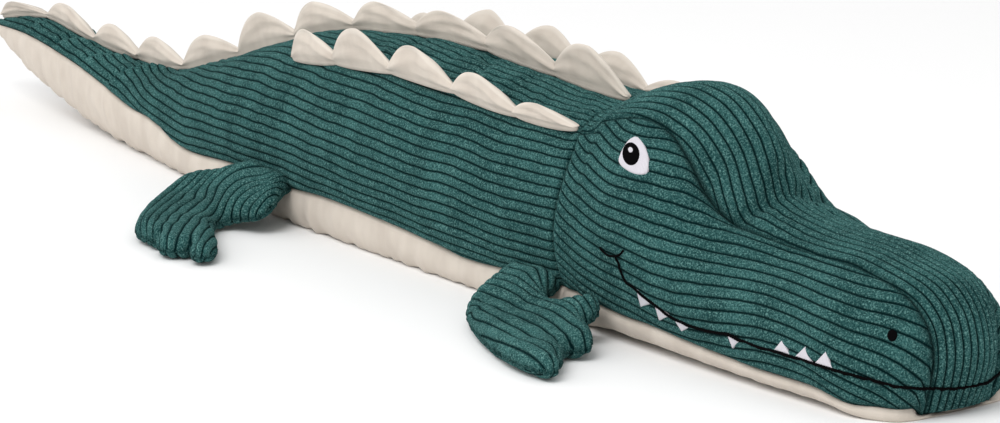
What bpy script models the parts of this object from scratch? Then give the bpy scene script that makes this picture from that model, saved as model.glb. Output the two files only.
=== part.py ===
"""Stuffed crocodile of ribbed cord with a cotton belly, sewn back scutes and flat paws.

Metres, +Z up, +X towards the nose, origin on the floor under the middle of the toy.
The cover is cut in panels that meet at seams, and stuffing fills the body, head and paws.
"""

import math

import bmesh
import bpy
from mathutils import Vector
from mathutils.bvhtree import BVHTree

# Driving dimensions
TAIL_LENGTH = 0.335
TORSO_LENGTH = 0.304
HEAD_LENGTH = 0.233
BODY_WIDTH = 0.118
BODY_HEIGHT = 0.106

# Cloth and seams
COVER_THICKNESS = 0.0020
SEAM_GAP = 0.0004
FILLING_GAP = 0.0003
PAW_FILLING_GAP = 0.0010
STITCH_GAP = 0.0006

# Back scutes, padded triangles of cotton sewn into the seams of the back
SCUTE_HEIGHT = 0.020
SCUTE_THICKNESS = 0.009
SCUTE_SEAT = 0.00035
SCUTE_FOLD_RISE = 0.0022
SCUTE_END_GAP = 0.0005

# Paws
PAW_SPAN = 0.118
PAW_REACH = 0.098
PAW_THICKNESS = 0.0175
PAW_ROOT_THICKNESS = 0.0030
PAW_SEAT = 0.0004
PAW_RIM_RISE = 0.0065

# Embroidery
THREAD_THICKNESS = 0.0008
EYE_WIDTH = 0.0170
EYE_HEIGHT = 0.0195
PUPIL_WIDTH = 0.0095
PUPIL_HEIGHT = 0.0118
NOSTRIL_WIDTH = 0.0052
MOUTH_WIDTH = 0.0015
TOOTH_HEIGHT = 0.0070
TOOTH_WIDTH = 0.0088

# Where the sections of the cover run. A place along the toy is a share of the tail (0 to 1),
# the torso (1 to 2) and the head (2 to 3). Sideways shares are of half the body's width and
# upright ones of its height.
# belly seam (x, y, z), fullness of the flank (y, z), side of the back or top of the cheek
# (x, y, z), line of the spine (x, z), line of the keel (x, z), half width that lies flat (y)
SECTION_SHARES = (
    ((0, 0.041, 0.392), (0.037, 0.398), (0, 0.025, 0.404), (0, 0.406), (0, 0.379), 0.017),
    ((0.036, 0.119, 0.406), (0.11, 0.432), (0.036, 0.068, 0.434), (0.036, 0.439), (0.036, 0.344), 0.051),
    ((0.182, 0.246, 0.425), (0.237, 0.481), (0.182, 0.136, 0.495), (0.182, 0.509), (0.182, 0.193), 0.102),
    ((0.355, 0.347, 0.381), (0.339, 0.438), (0.355, 0.195, 0.446), (0.355, 0.458), (0.355, 0.074), 0.153),
    ((0.496, 0.441, 0.321), (0.424, 0.41), (0.496, 0.237, 0.421), (0.496, 0.432), (0.496, 0.015), 0.203),
    ((0.654, 0.542, 0.224), (0.576, 0.425), (0.654, 0.305, 0.442), (0.654, 0.458), (0.654, 0), 0.305),
    ((0.824, 0.661, 0.165), (0.78, 0.462), (0.824, 0.39, 0.571), (0.824, 0.613), (0.824, 0), 0.458),
    ((1, 0.763, 0.197), (0.966, 0.472), (1, 0.492, 0.717), (1, 0.792), (1, 0), 0.593),
    ((1.181, 0.831, 0.21), (1.085, 0.481), (1.181, 0.576, 0.797), (1.181, 0.925), (1.181, 0), 0.678),
    ((1.411, 0.869, 0.203), (1.186, 0.481), (1.411, 0.644, 0.825), (1.411, 0.967), (1.411, 0), 0.72),
    ((1.707, 0.868, 0.168), (1.203, 0.481), (1.707, 0.678, 0.849), (1.707, 0.97), (1.707, 0), 0.729),
    ((2, 0.847, 0.16), (1.119, 0.481), (1.993, 0.678, 0.868), (1.957, 0.939), (2, 0), 0.712),
    ((2.09, 0.885, 0.151), (1.161, 0.505), (2.073, 0.637, 0.958), (2.021, 1.009), (2.09, 0), 0.729),
    ((2.202, 0.905, 0.136), (1.203, 0.519), (2.163, 0.559, 0.995), (2.124, 1.09), (2.202, 0), 0.746),
    ((2.292, 0.907, 0.14), (1.203, 0.509), (2.227, 0.508, 0.958), (2.227, 1.123), (2.292, 0), 0.746),
    ((2.361, 0.898, 0.135), (1.186, 0.472), (2.283, 0.483, 0.854), (2.315, 1.085), (2.361, 0), 0.746),
    ((2.433, 0.89, 0.132), (1.169, 0.429), (2.335, 0.466, 0.717), (2.384, 0.968), (2.433, 0), 0.746),
    ((2.511, 0.881, 0.13), (1.153, 0.401), (2.386, 0.441, 0.632), (2.43, 0.806), (2.511, 0), 0.737),
    ((2.614, 0.861, 0.12), (1.127, 0.373), (2.459, 0.424, 0.594), (2.476, 0.67), (2.614, 0), 0.729),
    ((2.768, 0.822, 0.104), (1.068, 0.349), (2.639, 0.407, 0.583), (2.639, 0.627), (2.768, 0), 0.703),
    ((2.854, 0.79, 0.099), (1, 0.335), (2.779, 0.397, 0.578), (2.785, 0.616), (2.854, 0), 0.669),
    ((2.908, 0.72, 0.092), (0.881, 0.297), (2.886, 0.376, 0.531), (2.91, 0.561), (2.908, 0), 0.593),
    ((2.936, 0.636, 0.085), (0.763, 0.255), (2.94, 0.351, 0.448), (2.968, 0.472), (2.936, 0.002), 0.525),
    ((2.948, 0.551, 0.08), (0.636, 0.198), (2.964, 0.327, 0.354), (2.994, 0.368), (2.953, 0.006), 0.441),
    ((2.955, 0.458, 0.075), (0.5, 0.137), (2.97, 0.317, 0.226), (3, 0.226), (2.964, 0.009), 0.356),
    ((2.953, 0.331, 0.064), (0.331, 0.064), (2.953, 0.331, 0.064), (2.968, 0.021), (2.968, 0.021), 0.203),
)
NECK_SECTION = 11
BELLY_FULLNESS_SHARE = 1.05
SPINE_FULLNESS_SHARE = 0.58
FLAT_TOWARDS_KEEL_SHARE = 0.55
CORE_HEIGHT_SHARE = 0.40
CORE_START_SHARE = 0.05
COVER_THICKNESS_SHARE = 0.30
FILLING_START_SECTION = 1

BELLY_STEPS = 2
FLANK_STEPS = 5
BACK_STEPS = 3
TORSO_SECTION_STEPS = 2
TAIL_SINGLE_SECTIONS = 2

# Scute seams: where each scute begins and ends, its height and where its tip stands
SPINE_ROW_SHARES = (0.03, 0.182, 0.355, 0.496, 0.654, 0.824, 1.0, 1.181, 1.378, 1.572, 1.766, 1.947)
SPINE_HEIGHT_SHARES = (0.85, 0.85, 0.85, 0.85, 0.95, 1.0, 1.0, 0.95, 0.95, 1.0, 1.15)
SPINE_TIP_SHARES = (0.48, 0.42, 0.38, 0.40, 0.42, 0.39, 0.32, 0.33, 0.34, 0.34, 0.45)
SIDE_ROW_SHARES = (1.161, 1.296, 1.48, 1.658, 1.836, 1.985)
SIDE_HEIGHT_SHARES = (1.0, 1.25, 1.15, 0.95, 0.55)
SIDE_TIP_SHARES = (0.28, 0.42, 0.34, 0.32, 0.28)
SIDE_LEAN_SHARE = 0.30
SCUTE_COLUMNS = 6
SCUTE_SWELL_SHARES = (0.30, 0.68)
SCUTE_END_HEIGHT_SHARE = 0.08
SCUTE_SAG_SHARE = 0.6
SCUTE_LOW_SLOPE_SHARE = 0.56
SCUTE_HIGH_SLOPE_SHARE = 1.1
SCUTE_RISING_SHARE = 0.8
SCUTE_FALLING_SHARE = 1.25

# Paw outlines: places along the body as shares of PAW_SPAN from the middle of the sewn edge
# and places outwards as shares of PAW_REACH. The first and last points are the sewn edge.
FRONT_SEWN_SHARES = (1.875, 2.0)
REAR_SEWN_SHARES = (1.102, 1.224)
FRONT_PAW_SHARES = (
    (-0.136, 0.0), (-0.150, 0.10), (-0.105, 0.26), (0.010, 0.41), (0.155, 0.52), (0.345, 0.60),
    (0.565, 0.665), (0.785, 0.735), (0.855, 0.675), (0.775, 0.575), (0.635, 0.49), (0.72, 0.40),
    (0.685, 0.285), (0.58, 0.252), (0.485, 0.25), (0.54, 0.180), (0.46, 0.148), (0.34, 0.136),
    (0.20, 0.128), (0.150, 0.06), (0.136, 0.0),
)
REAR_PAW_SHARES = (
    (-0.13, 0.0), (-0.26, 0.12), (-0.35, 0.28), (-0.29, 0.46), (-0.10, 0.69), (0.09, 0.86),
    (0.205, 0.98), (0.31, 0.99), (0.355, 0.92), (0.425, 1.0), (0.515, 0.985), (0.505, 0.875),
    (0.585, 0.895), (0.63, 0.81), (0.525, 0.71), (0.375, 0.615), (0.235, 0.50), (0.145, 0.39),
    (0.24, 0.33), (0.285, 0.235), (0.23, 0.115), (0.13, 0.0),
)
FRONT_PALM_SHARE = (0.25, 0.30)
REAR_PALM_SHARE = (-0.08, 0.36)
PAW_RING_SHARES = ((1.0, 0.0), (0.92, 0.62), (0.60, 0.97))
PAW_SLOPE_SHARE = 0.30
PAW_DROP_SHARE = 0.42
PAW_DEPTH_SHARE = 0.9

# Embroidery places: along the toy as a share, upright as a share of the body's height
EYE_PLACE_SHARES = (2.188, 0.855)
PUPIL_SHIFT_SHARES = (-0.10, 0.02)
NOSTRIL_PLACE_SHARES = (2.895, 0.357)
MOUTH_SHARES = (
    (2.183, 0.366), (2.194, 0.326), (2.235, 0.265), (2.310, 0.225), (2.400, 0.185), (2.520, 0.183),
    (2.640, 0.186), (2.760, 0.186), (2.860, 0.183), (2.900, 0.180), (2.925, 0.177), (2.945, 0.173), (2.960, 0.169),
)
NOSE_MOUTH_SHARES = (
    (0.47, 0.165), (0.41, 0.162), (0.34, 0.159), (0.26, 0.156), (0.17, 0.154), (0.08, 0.153), (0.0, 0.153),
)
CURL_SHARES = ((2.105, 0.440), (2.135, 0.400), (2.165, 0.390), (2.195, 0.412), (2.215, 0.448))
UPPER_TRIO_SHARE = 2.235
MIDDLE_TOOTH_SHARE = 2.500
LOWER_TRIO_SHARE = 2.660
EMBROIDERY_CORE_SHARE = 2.80
OVAL_CUT_SHARE = 0.97
OVAL_POINT_SHARE = 0.45

# Colours and finish
CORD_COLOUR = (0.030, 0.150, 0.130, 1.0)
COTTON_COLOUR = (0.760, 0.680, 0.580, 1.0)
FILLING_COLOUR = (0.850, 0.850, 0.840, 1.0)
WHITE_COLOUR = (0.800, 0.800, 0.820, 1.0)
BLACK_COLOUR = (0.008, 0.007, 0.008, 1.0)
CLOTH_ROUGHNESS = 0.9


def clear_scene():
    for item in list(bpy.data.objects):
        bpy.data.objects.remove(item, do_unlink=True)


def total_length():
    return TAIL_LENGTH + TORSO_LENGTH + HEAD_LENGTH


def along(share):
    """Place along the toy in metres for a share of tail, torso and head."""
    tail = min(share, 1.0) * TAIL_LENGTH
    torso = min(max(share - 1.0, 0.0), 1.0) * TORSO_LENGTH
    head = max(share - 2.0, 0.0) * HEAD_LENGTH
    return tail + torso + head - total_length() / 2


def place(x_share, y_share, z_share):
    return Vector((along(x_share), y_share * BODY_WIDTH / 2, z_share * BODY_HEIGHT))


def section_controls(row):
    """Control points of one section on the left side, from keel to spine."""
    seam, flank, shoulder, spine, keel, flat = row
    seam_point = place(*seam)
    shoulder_point = place(*shoulder)
    spine_point = place(spine[0], 0.0, spine[1])
    keel_point = place(keel[0], 0.0, keel[1])
    flat_x = seam_point.x + (keel_point.x - seam_point.x) * FLAT_TOWARDS_KEEL_SHARE
    flat_point = Vector((flat_x, flat * BODY_WIDTH / 2, keel_point.z))
    flank_point = place(0.0, flank[0], flank[1])
    flank_point.x = (seam_point.x + shoulder_point.x) / 2
    return [keel_point, flat_point, seam_point, flank_point, shoulder_point, spine_point]


def catmull(values, step):
    """Smooth value between the listed ones, step counts along them."""
    last = len(values) - 1
    index = min(int(step), last - 1)
    part = step - index
    p1, p2 = values[index], values[index + 1]
    p0 = values[index - 1] if index > 0 else p1 * 2 - p2
    p3 = values[index + 2] if index + 2 <= last else p2 * 2 - p1
    linear = p2 - p0
    square = p0 * 2 - p1 * 5 + p2 * 4 - p3
    cube = p1 * 3 - p0 - p2 * 3 + p3
    return (p1 * 2 + linear * part + square * part ** 2 + cube * part ** 3) / 2


def bend(start, middle, end, count):
    """Points of a simple curve after its start, up to its end."""
    points = []
    for number in range(1, count + 1):
        t = number / count
        points.append(start * (1 - t) ** 2 + middle * 2 * t * (1 - t) + end * t ** 2)
    return points


def half_section(controls):
    keel, flat, seam, flank, shoulder, spine = controls
    under = Vector((seam.x, seam.y * BELLY_FULLNESS_SHARE, keel.z))
    crown = Vector((spine.x, shoulder.y * SPINE_FULLNESS_SHARE, spine.z))
    points = [keel.copy(), flat.copy()]
    points += bend(flat, under, seam, BELLY_STEPS)
    points += bend(seam, flank, shoulder, FLANK_STEPS)
    points += bend(shoulder, crown, spine, BACK_STEPS)
    return points


def closing_section(controls):
    """Last section at the chin, where the jaw and the crown panel meet along one seam."""
    points = half_section(controls)
    seam_index = 1 + BELLY_STEPS
    count = len(points)
    for number in range(seam_index + 1):
        points[seam_index - number] = points[count - 1 - BACK_STEPS + number].copy()
    return points


def ring_points(half):
    """Whole ring from the keel up the right side and down the left side."""
    right = [Vector((p.x, -p.y, p.z)) for p in half]
    left = [p.copy() for p in half[1:-1]]
    left.reverse()
    return right + left


def build_rings():
    columns = [section_controls(row) for row in SECTION_SHARES]
    tracks = [[row[number] for row in columns] for number in range(len(columns[0]))]
    steps = []
    for number in range(NECK_SECTION):
        parts = TORSO_SECTION_STEPS if number > TAIL_SINGLE_SECTIONS else 1
        steps += [number + part / parts for part in range(parts)]
    neck_row = len(steps)
    last = len(SECTION_SHARES) - 1
    steps += list(range(NECK_SECTION, last + 1))
    rings = []
    for step in steps:
        controls = [catmull(track, step) for track in tracks]
        for point in controls:
            point.z = max(point.z, 0.0)
        half = closing_section(controls) if step == last else half_section(controls)
        rings.append(ring_points(half))
    return rings, steps, neck_row


class Skin:
    """Outer surface of the stuffed form as shared points, normals and labelled faces."""

    def __init__(self):
        self.points = []
        self.keys = {}
        self.faces = []
        self.labels = []
        self.normals = []
        self.depths = {}

    def add_point(self, point):
        key = (round(point.x, 6), round(point.y, 6), round(point.z, 6))
        if key not in self.keys:
            self.keys[key] = len(self.points)
            self.points.append(point.copy())
        return self.keys[key]

    def add_face(self, points, label):
        indices = []
        for point in points:
            index = self.add_point(point)
            if index not in indices:
                indices.append(index)
        if len(indices) < 3:
            return
        if len(indices) == 3:
            parts = [indices]
        else:
            a, b, c, d = indices
            direct = (self.points[a] - self.points[c]).length
            other = (self.points[b] - self.points[d]).length
            parts = [[a, b, c], [a, c, d]] if direct <= other else [[a, b, d], [b, c, d]]
        for part in parts:
            self.faces.append(part)
            self.labels.append(label)

    def finish(self, inside):
        """Normals face away from the point that inside gives for each surface point."""
        self.normals = [Vector((0.0, 0.0, 0.0)) for _ in self.points]
        for face in self.faces:
            normal = Vector((0.0, 0.0, 0.0))
            for number, index in enumerate(face):
                following = self.points[face[(number + 1) % len(face)]]
                normal += self.points[index].cross(following)
            centre = sum((self.points[i] for i in face), Vector((0.0, 0.0, 0.0))) / len(face)
            if normal.dot(centre - inside(centre)) < 0:
                normal.negate()
                face.reverse()
            for index in face:
                self.normals[index] += normal
        for normal in self.normals:
            normal.normalize()


def make_object(name, points, faces, colour, origin, roughness=CLOTH_ROUGHNESS, smooth=True):
    mesh = bpy.data.meshes.new(name)
    mesh.from_pydata([tuple(p - origin) for p in points], [], faces)
    working = bmesh.new()
    working.from_mesh(mesh)
    bmesh.ops.recalc_face_normals(working, faces=working.faces[:])
    working.to_mesh(mesh)
    working.free()
    if smooth:
        mesh.shade_smooth()
        mesh.set_sharp_from_angle(angle=math.radians(40))
    item = bpy.data.objects.new(name, mesh)
    item.location = origin
    bpy.context.scene.collection.objects.link(item)
    material = bpy.data.materials.new(name)
    material.use_nodes = True
    shader = material.node_tree.nodes["Principled BSDF"]
    shader.inputs["Base Color"].default_value = colour
    shader.inputs["Roughness"].default_value = roughness
    shader.inputs["Metallic"].default_value = 0.0
    mesh.materials.append(material)
    return item


def cover_depth(skin, index):
    return min(COVER_THICKNESS, skin.depths[index] * COVER_THICKNESS_SHARE)


def cover_panel(name, skin, label, colour, origin):
    """Closed sheet of cloth over the faces with this label, drawn back from its seams."""
    faces = [face for face, face_label in zip(skin.faces, skin.labels) if face_label == label]
    used = sorted({index for face in faces for index in face})
    number_of = {index: number for number, index in enumerate(used)}
    edges = {}
    for face in faces:
        for number, first in enumerate(face):
            second = face[(number + 1) % len(face)]
            key = (min(first, second), max(first, second))
            edges.setdefault(key, []).append((first, second))
    rim = [pairs[0] for pairs in edges.values() if len(pairs) == 1]
    rim_points = {index for pair in rim for index in pair}
    draw = {index: Vector((0.0, 0.0, 0.0)) for index in rim_points}
    for first, second in rim:
        run = (skin.points[second] - skin.points[first]).normalized()
        normal = (skin.normals[first] + skin.normals[second]).normalized()
        inward = normal.cross(run).normalized()
        for index in (first, second):
            draw[index] += inward
    outer = []
    inner = []
    for index in used:
        shift = Vector((0.0, 0.0, 0.0))
        if index in draw and draw[index].length > 0:
            shift = draw[index].normalized() * SEAM_GAP / 2
        point = skin.points[index] + shift
        outer.append(point)
        inner.append(point - skin.normals[index] * cover_depth(skin, index))
    count = len(used)
    mesh_faces = [[number_of[i] for i in face] for face in faces]
    mesh_faces += [[number_of[i] + count for i in reversed(face)] for face in faces]
    for first, second in rim:
        a, b = number_of[first], number_of[second]
        mesh_faces.append([b, a, a + count, b + count])
    return make_object(name, outer + inner, mesh_faces, colour, origin)


def filling_solid(name, skin, labels, caps, colour, origin, gap=FILLING_GAP):
    """Stuffing under the covers: the skin drawn in by cloth and gap, its open ends capped."""
    faces = [face for face, label in zip(skin.faces, skin.labels) if label in labels]
    used = sorted({index for face in faces for index in face})
    number_of = {index: number for number, index in enumerate(used)}
    points = []
    for index in used:
        points.append(skin.points[index] - skin.normals[index] * (cover_depth(skin, index) + gap))
    mesh_faces = [[number_of[i] for i in face] for face in faces]
    for loop, shift in caps:
        numbers = [number_of[i] for i in loop]
        centre = sum((points[n] for n in numbers), Vector((0.0, 0.0, 0.0))) / len(numbers)
        for number in numbers:
            points[number] = points[number] + shift
        points.append(centre + shift)
        hub = len(points) - 1
        for number, first in enumerate(numbers):
            mesh_faces.append([first, numbers[(number + 1) % len(numbers)], hub])
    return make_object(name, points, mesh_faces, colour, origin)


def body_skin():
    rings, steps, neck_row = build_rings()
    skin = Skin()
    count = len(rings[0])
    seam = 1 + BELLY_STEPS
    shoulder = seam + FLANK_STEPS
    spine = shoulder + BACK_STEPS
    for row in range(len(rings) - 1):
        head = row >= neck_row
        stuffed = steps[row] >= FILLING_START_SECTION
        for column in range(count):
            side = column if column < spine else count - 1 - column
            if side < seam:
                label = "jaw" if head else "belly"
            elif head and side >= shoulder:
                label = "crown"
            elif head:
                label = "cheek_right" if column < spine else "cheek_left"
            else:
                label = "flank_right" if column < spine else "flank_left"
            after = (column + 1) % count
            corners = (rings[row][column], rings[row][after], rings[row + 1][after], rings[row + 1][column])
            skin.add_face(corners, (label, stuffed))
    height = BODY_HEIGHT * CORE_HEIGHT_SHARE

    def inside(point):
        reach = min(max(point.x, along(CORE_START_SHARE)), along(EMBROIDERY_CORE_SHARE))
        return Vector((reach, 0.0, height))

    skin.finish(inside)
    for ring in rings:
        centre = sum(ring, Vector((0.0, 0.0, 0.0))) / count
        for point in ring:
            index = skin.add_point(point)
            skin.depths[index] = max((point - centre).length, skin.depths.get(index, 0.0))
    first_full = steps.index(FILLING_START_SECTION)
    tail_loop = [skin.add_point(p) for p in rings[first_full]]
    neck_loop = [skin.add_point(p) for p in rings[neck_row]]
    return skin, rings, steps, neck_row, tail_loop, neck_loop


def merge_labels(skin):
    skin.labels = [label[0] for label in skin.labels]


def build_body(skin, tail_loop, neck_loop, origin):
    stuffed = {("belly", True), ("flank_right", True), ("flank_left", True)}
    neck_shift = Vector((SEAM_GAP / 2, 0.0, 0.0))
    none = Vector((0.0, 0.0, 0.0))
    caps = [(tail_loop, none), (neck_loop, -neck_shift)]
    filling_solid("body_filling", skin, stuffed, caps, FILLING_COLOUR, origin)
    head = {("jaw", True), ("crown", True), ("cheek_right", True), ("cheek_left", True)}
    filling_solid("head_filling", skin, head, [(neck_loop, neck_shift)], FILLING_COLOUR, origin)
    merge_labels(skin)
    cover_panel("belly_panel", skin, "belly", COTTON_COLOUR, origin)
    cover_panel("flank_panel_right", skin, "flank_right", CORD_COLOUR, origin)
    cover_panel("flank_panel_left", skin, "flank_left", CORD_COLOUR, origin)
    cover_panel("jaw_panel", skin, "jaw", COTTON_COLOUR, origin)
    cover_panel("crown_panel", skin, "crown", CORD_COLOUR, origin)
    cover_panel("cheek_panel_right", skin, "cheek_right", CORD_COLOUR, origin)
    cover_panel("cheek_panel_left", skin, "cheek_left", CORD_COLOUR, origin)


def on_line(line, x):
    """Point of a polyline at one place along the toy."""
    for first, second in zip(line, line[1:]):
        if first.x <= x <= second.x:
            part = (x - first.x) / (second.x - first.x)
            return first.lerp(second, part)
    return line[-1].copy() if x > line[-1].x else line[0].copy()


def scute(name, line, start, end, height, tip, lean):
    """Padded triangle that stands on a seam of the back and turns about its sewn edge."""
    first = on_line(line, along(start) + SCUTE_END_GAP)
    last = on_line(line, along(end) - SCUTE_END_GAP)
    up = Vector((0.0, lean, 1.0)).normalized()
    axis = (last - first).normalized()
    across = axis.cross(up).normalized()
    rise = across.cross(axis).normalized()
    seat = rise * SCUTE_SEAT
    hinge = (first + last) / 2 + seat + rise * SCUTE_FOLD_RISE
    length = (last - first).length
    points = []
    for number in range(SCUTE_COLUMNS):
        part = number / (SCUTE_COLUMNS - 1)
        base = on_line(line, first.x + (last.x - first.x) * part)
        chord = first.lerp(last, part)
        sag = (base - chord).dot(rise)
        base = chord + rise * (sag + max(sag, 0.0) * SCUTE_SAG_SHARE) + seat
        if part < tip:
            profile = max(math.sin(math.pi / 2 * part / tip), 0.0) ** SCUTE_RISING_SHARE
        else:
            profile = max(math.cos(math.pi / 2 * (part - tip) / (1 - tip)), 0.0) ** SCUTE_FALLING_SHARE
        tall = height * (SCUTE_END_HEIGHT_SHARE + (1 - SCUTE_END_HEIGHT_SHARE) * profile)
        low, high = SCUTE_SWELL_SHARES
        swell = min(SCUTE_THICKNESS / 2, tall * low * SCUTE_LOW_SLOPE_SHARE)
        slim = min(SCUTE_THICKNESS / 2, tall * (1 - high) * SCUTE_HIGH_SLOPE_SHARE)
        points.append(base)
        points.append(base + rise * tall * low + across * swell)
        points.append(base + rise * tall * high + across * slim)
        points.append(base + rise * tall)
        points.append(base + rise * tall * high - across * slim)
        points.append(base + rise * tall * low - across * swell)
    faces = []
    sides = 6
    for number in range(SCUTE_COLUMNS - 1):
        for side in range(sides):
            a = number * sides + side
            b = number * sides + (side + 1) % sides
            faces.append([a, b, b + sides, a + sides])
    faces.append(list(range(sides)))
    faces.append([(SCUTE_COLUMNS - 1) * sides + side for side in range(sides - 1, -1, -1)])
    make_object(name, points, faces, COTTON_COLOUR, hinge)
    print("hinge", name, [round(v, 6) for v in hinge], [round(v, 6) for v in axis], round(length, 5))


def build_scutes(rings, neck_row):
    seam = 1 + BELLY_STEPS
    shoulder = seam + FLANK_STEPS
    spine = shoulder + BACK_STEPS
    spine_line = [ring[spine] for ring in rings[:neck_row + 1]]
    right_line = [ring[shoulder] for ring in rings[:neck_row + 1]]
    left_line = [Vector((p.x, -p.y, p.z)) for p in right_line]
    for number, height in enumerate(SPINE_HEIGHT_SHARES):
        start, end = SPINE_ROW_SHARES[number], SPINE_ROW_SHARES[number + 1]
        name = "spine_scute_%02d" % (number + 1)
        scute(name, spine_line, start, end, height * SCUTE_HEIGHT, SPINE_TIP_SHARES[number], 0.0)
    for number, height in enumerate(SIDE_HEIGHT_SHARES):
        start, end = SIDE_ROW_SHARES[number], SIDE_ROW_SHARES[number + 1]
        tip = SIDE_TIP_SHARES[number]
        tall = height * SCUTE_HEIGHT
        scute("right_scute_%d" % (number + 1), right_line, start, end, tall, tip, -SIDE_LEAN_SHARE)
        scute("left_scute_%d" % (number + 1), left_line, start, end, tall, tip, SIDE_LEAN_SHARE)


def paw(name, line, sewn, outline, palm, side):
    """Flat stuffed paw, sewn into the belly seam along one edge and loose from there."""
    first = on_line(line, along(sewn[0]))
    last = on_line(line, along(sewn[1]))
    for point in (first, last):
        point.y = side * (abs(point.y) + PAW_SEAT + PAW_ROOT_THICKNESS / 2)
    hinge = (first + last) / 2
    axis = (last - first).normalized()
    drop = PAW_DROP_SHARE * PAW_REACH

    def spot(shares):
        x = hinge.x + shares[0] * PAW_SPAN
        part = (x - first.x) / (last.x - first.x)
        edge = first.lerp(last, min(max(part, 0.0), 1.0))
        out = shares[1] * PAW_REACH
        if shares[1] == 0:
            edge.y -= side * PAW_ROOT_THICKNESS / 2
        return Vector((x, edge.y + side * out, edge.z)), out

    palm_point, _ = spot(palm)
    skin = Skin()
    tops = []
    bottoms = []
    for ring, fullness in PAW_RING_SHARES:
        top = []
        bottom = []
        for shares in outline:
            inner = (palm[0] + (shares[0] - palm[0]) * ring, palm[1] + (shares[1] - palm[1]) * ring)
            point, out = spot(inner)
            fall = min(out / drop, 1.0)
            fall = fall * fall * (3 - 2 * fall)
            middle = point.z + (PAW_THICKNESS / 2 - point.z) * fall
            limit = PAW_ROOT_THICKNESS / 2 + out * PAW_SLOPE_SHARE
            half = min(PAW_THICKNESS / 2 * fullness, limit * min(fullness * 2, 1.0))
            rim = middle + (PAW_RIM_RISE - middle) * fall * (1 - fullness)
            swell = 0.0 if fullness == 0 else 1.0
            top.append(Vector((point.x, point.y, rim + (middle + half - rim) * swell)))
            bottom.append(Vector((point.x, point.y, max(rim + (middle - half - rim) * swell, 0.0))))
        tops.append(top)
        bottoms.append(bottom)
    centre_top = Vector((palm_point.x, palm_point.y, PAW_THICKNESS))
    centre_bottom = Vector((palm_point.x, palm_point.y, 0.0))
    count = len(outline)
    for rows, hub, label in ((tops, centre_top, "upper"), (bottoms, centre_bottom, "sole")):
        for outer, inner in zip(rows, rows[1:]):
            for number in range(count):
                after = (number + 1) % count
                skin.add_face((outer[number], outer[after], inner[after], inner[number]), label)
        for number in range(count):
            skin.add_face((rows[-1][number], rows[-1][(number + 1) % count], hub), label)
    skin.finish(lambda point: Vector((palm_point.x, palm_point.y, PAW_THICKNESS / 2)).lerp(point, 0.6))
    for index in range(len(skin.points)):
        skin.depths[index] = COVER_THICKNESS / COVER_THICKNESS_SHARE
    for row_top, row_bottom in zip(tops, bottoms):
        for p_top, p_bottom in zip(row_top, row_bottom):
            thick = max((p_top - p_bottom).length, PAW_ROOT_THICKNESS)
            for point in (p_top, p_bottom):
                skin.depths[skin.add_point(point)] = thick * PAW_DEPTH_SHARE
    cover_panel(name + "_upper", skin, "upper", CORD_COLOUR, hinge)
    cover_panel(name + "_sole", skin, "sole", CORD_COLOUR, hinge)
    filling_solid(name + "_filling", skin, {"upper", "sole"}, [], FILLING_COLOUR, hinge, PAW_FILLING_GAP)
    print("hinge", name, [round(v, 6) for v in hinge], [round(v, 6) for v in axis])


def build_paws(rings, neck_row):
    seam = 1 + BELLY_STEPS
    right_line = [ring[seam] for ring in rings[:neck_row + 1]]
    left_line = [Vector((p.x, -p.y, p.z)) for p in right_line]
    for line, side, word in ((right_line, -1, "right"), (left_line, 1, "left")):
        paw("front_paw_" + word, line, FRONT_SEWN_SHARES, FRONT_PAW_SHARES, FRONT_PALM_SHARE, side)
        paw("rear_paw_" + word, line, REAR_SEWN_SHARES, REAR_PAW_SHARES, REAR_PALM_SHARE, side)


def skin_tree(skin):
    return BVHTree.FromPolygons([tuple(p) for p in skin.points], skin.faces)


def on_skin(tree, place_guess, lift):
    """Point over the skin, found from outside along the line to the toy's core."""
    core = Vector((min(place_guess.x, along(EMBROIDERY_CORE_SHARE)), 0.0, place_guess.z))
    away = (place_guess - core).normalized()
    hit, normal, _, _ = tree.ray_cast(core + away * BODY_WIDTH * 2, -away)
    if normal.dot(away) < 0:
        normal.negate()
    return hit + normal * lift, hit + normal * (lift + THREAD_THICKNESS)


def stitched_patch(name, tree, rows, colour, lift):
    """Raised embroidery over a grid of places on the skin."""
    lower = []
    upper = []
    for row in rows:
        pairs = [on_skin(tree, point, lift) for point in row]
        lower += [pair[0] for pair in pairs]
        upper += [pair[1] for pair in pairs]
    count = len(lower)
    across = len(rows[0])
    down = len(rows)
    faces = []
    for r in range(down - 1):
        for c in range(across - 1):
            a = r * across + c
            quad = [a, a + 1, a + across + 1, a + across]
            faces.append(quad)
            faces.append([i + count for i in reversed(quad)])
    border = [c for c in range(across)]
    border += [r * across + across - 1 for r in range(1, down)]
    border += [(down - 1) * across + c for c in range(across - 2, -1, -1)]
    border += [r * across for r in range(down - 2, 0, -1)]
    for number, a in enumerate(border):
        b = border[(number + 1) % len(border)]
        faces.append([b, a, a + count, b + count])
    origin = sum(lower, Vector((0.0, 0.0, 0.0))) / count
    return make_object(name, lower + upper, faces, colour, origin)


def side_place(x, z, side):
    return Vector((x, side * BODY_WIDTH, z))


def oval_rows(x, z, width, height, side, point_up):
    """Grid of places that fills an oval, drawn to a point at the top where asked."""
    rows = []
    steps = 4
    for r in range(steps + 1):
        v = -1 + 2 * r / steps
        v = math.sin(v * math.pi / 2) * OVAL_CUT_SHARE
        reach = math.sqrt(1 - v * v)
        if point_up and v > 0:
            reach *= 1 - OVAL_POINT_SHARE * v
        row = []
        for c in range(5):
            u = -1 + c / 2
            row.append(side_place(x + u * reach * width / 2, z + v * height / 2, side))
        rows.append(row)
    return rows


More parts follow.
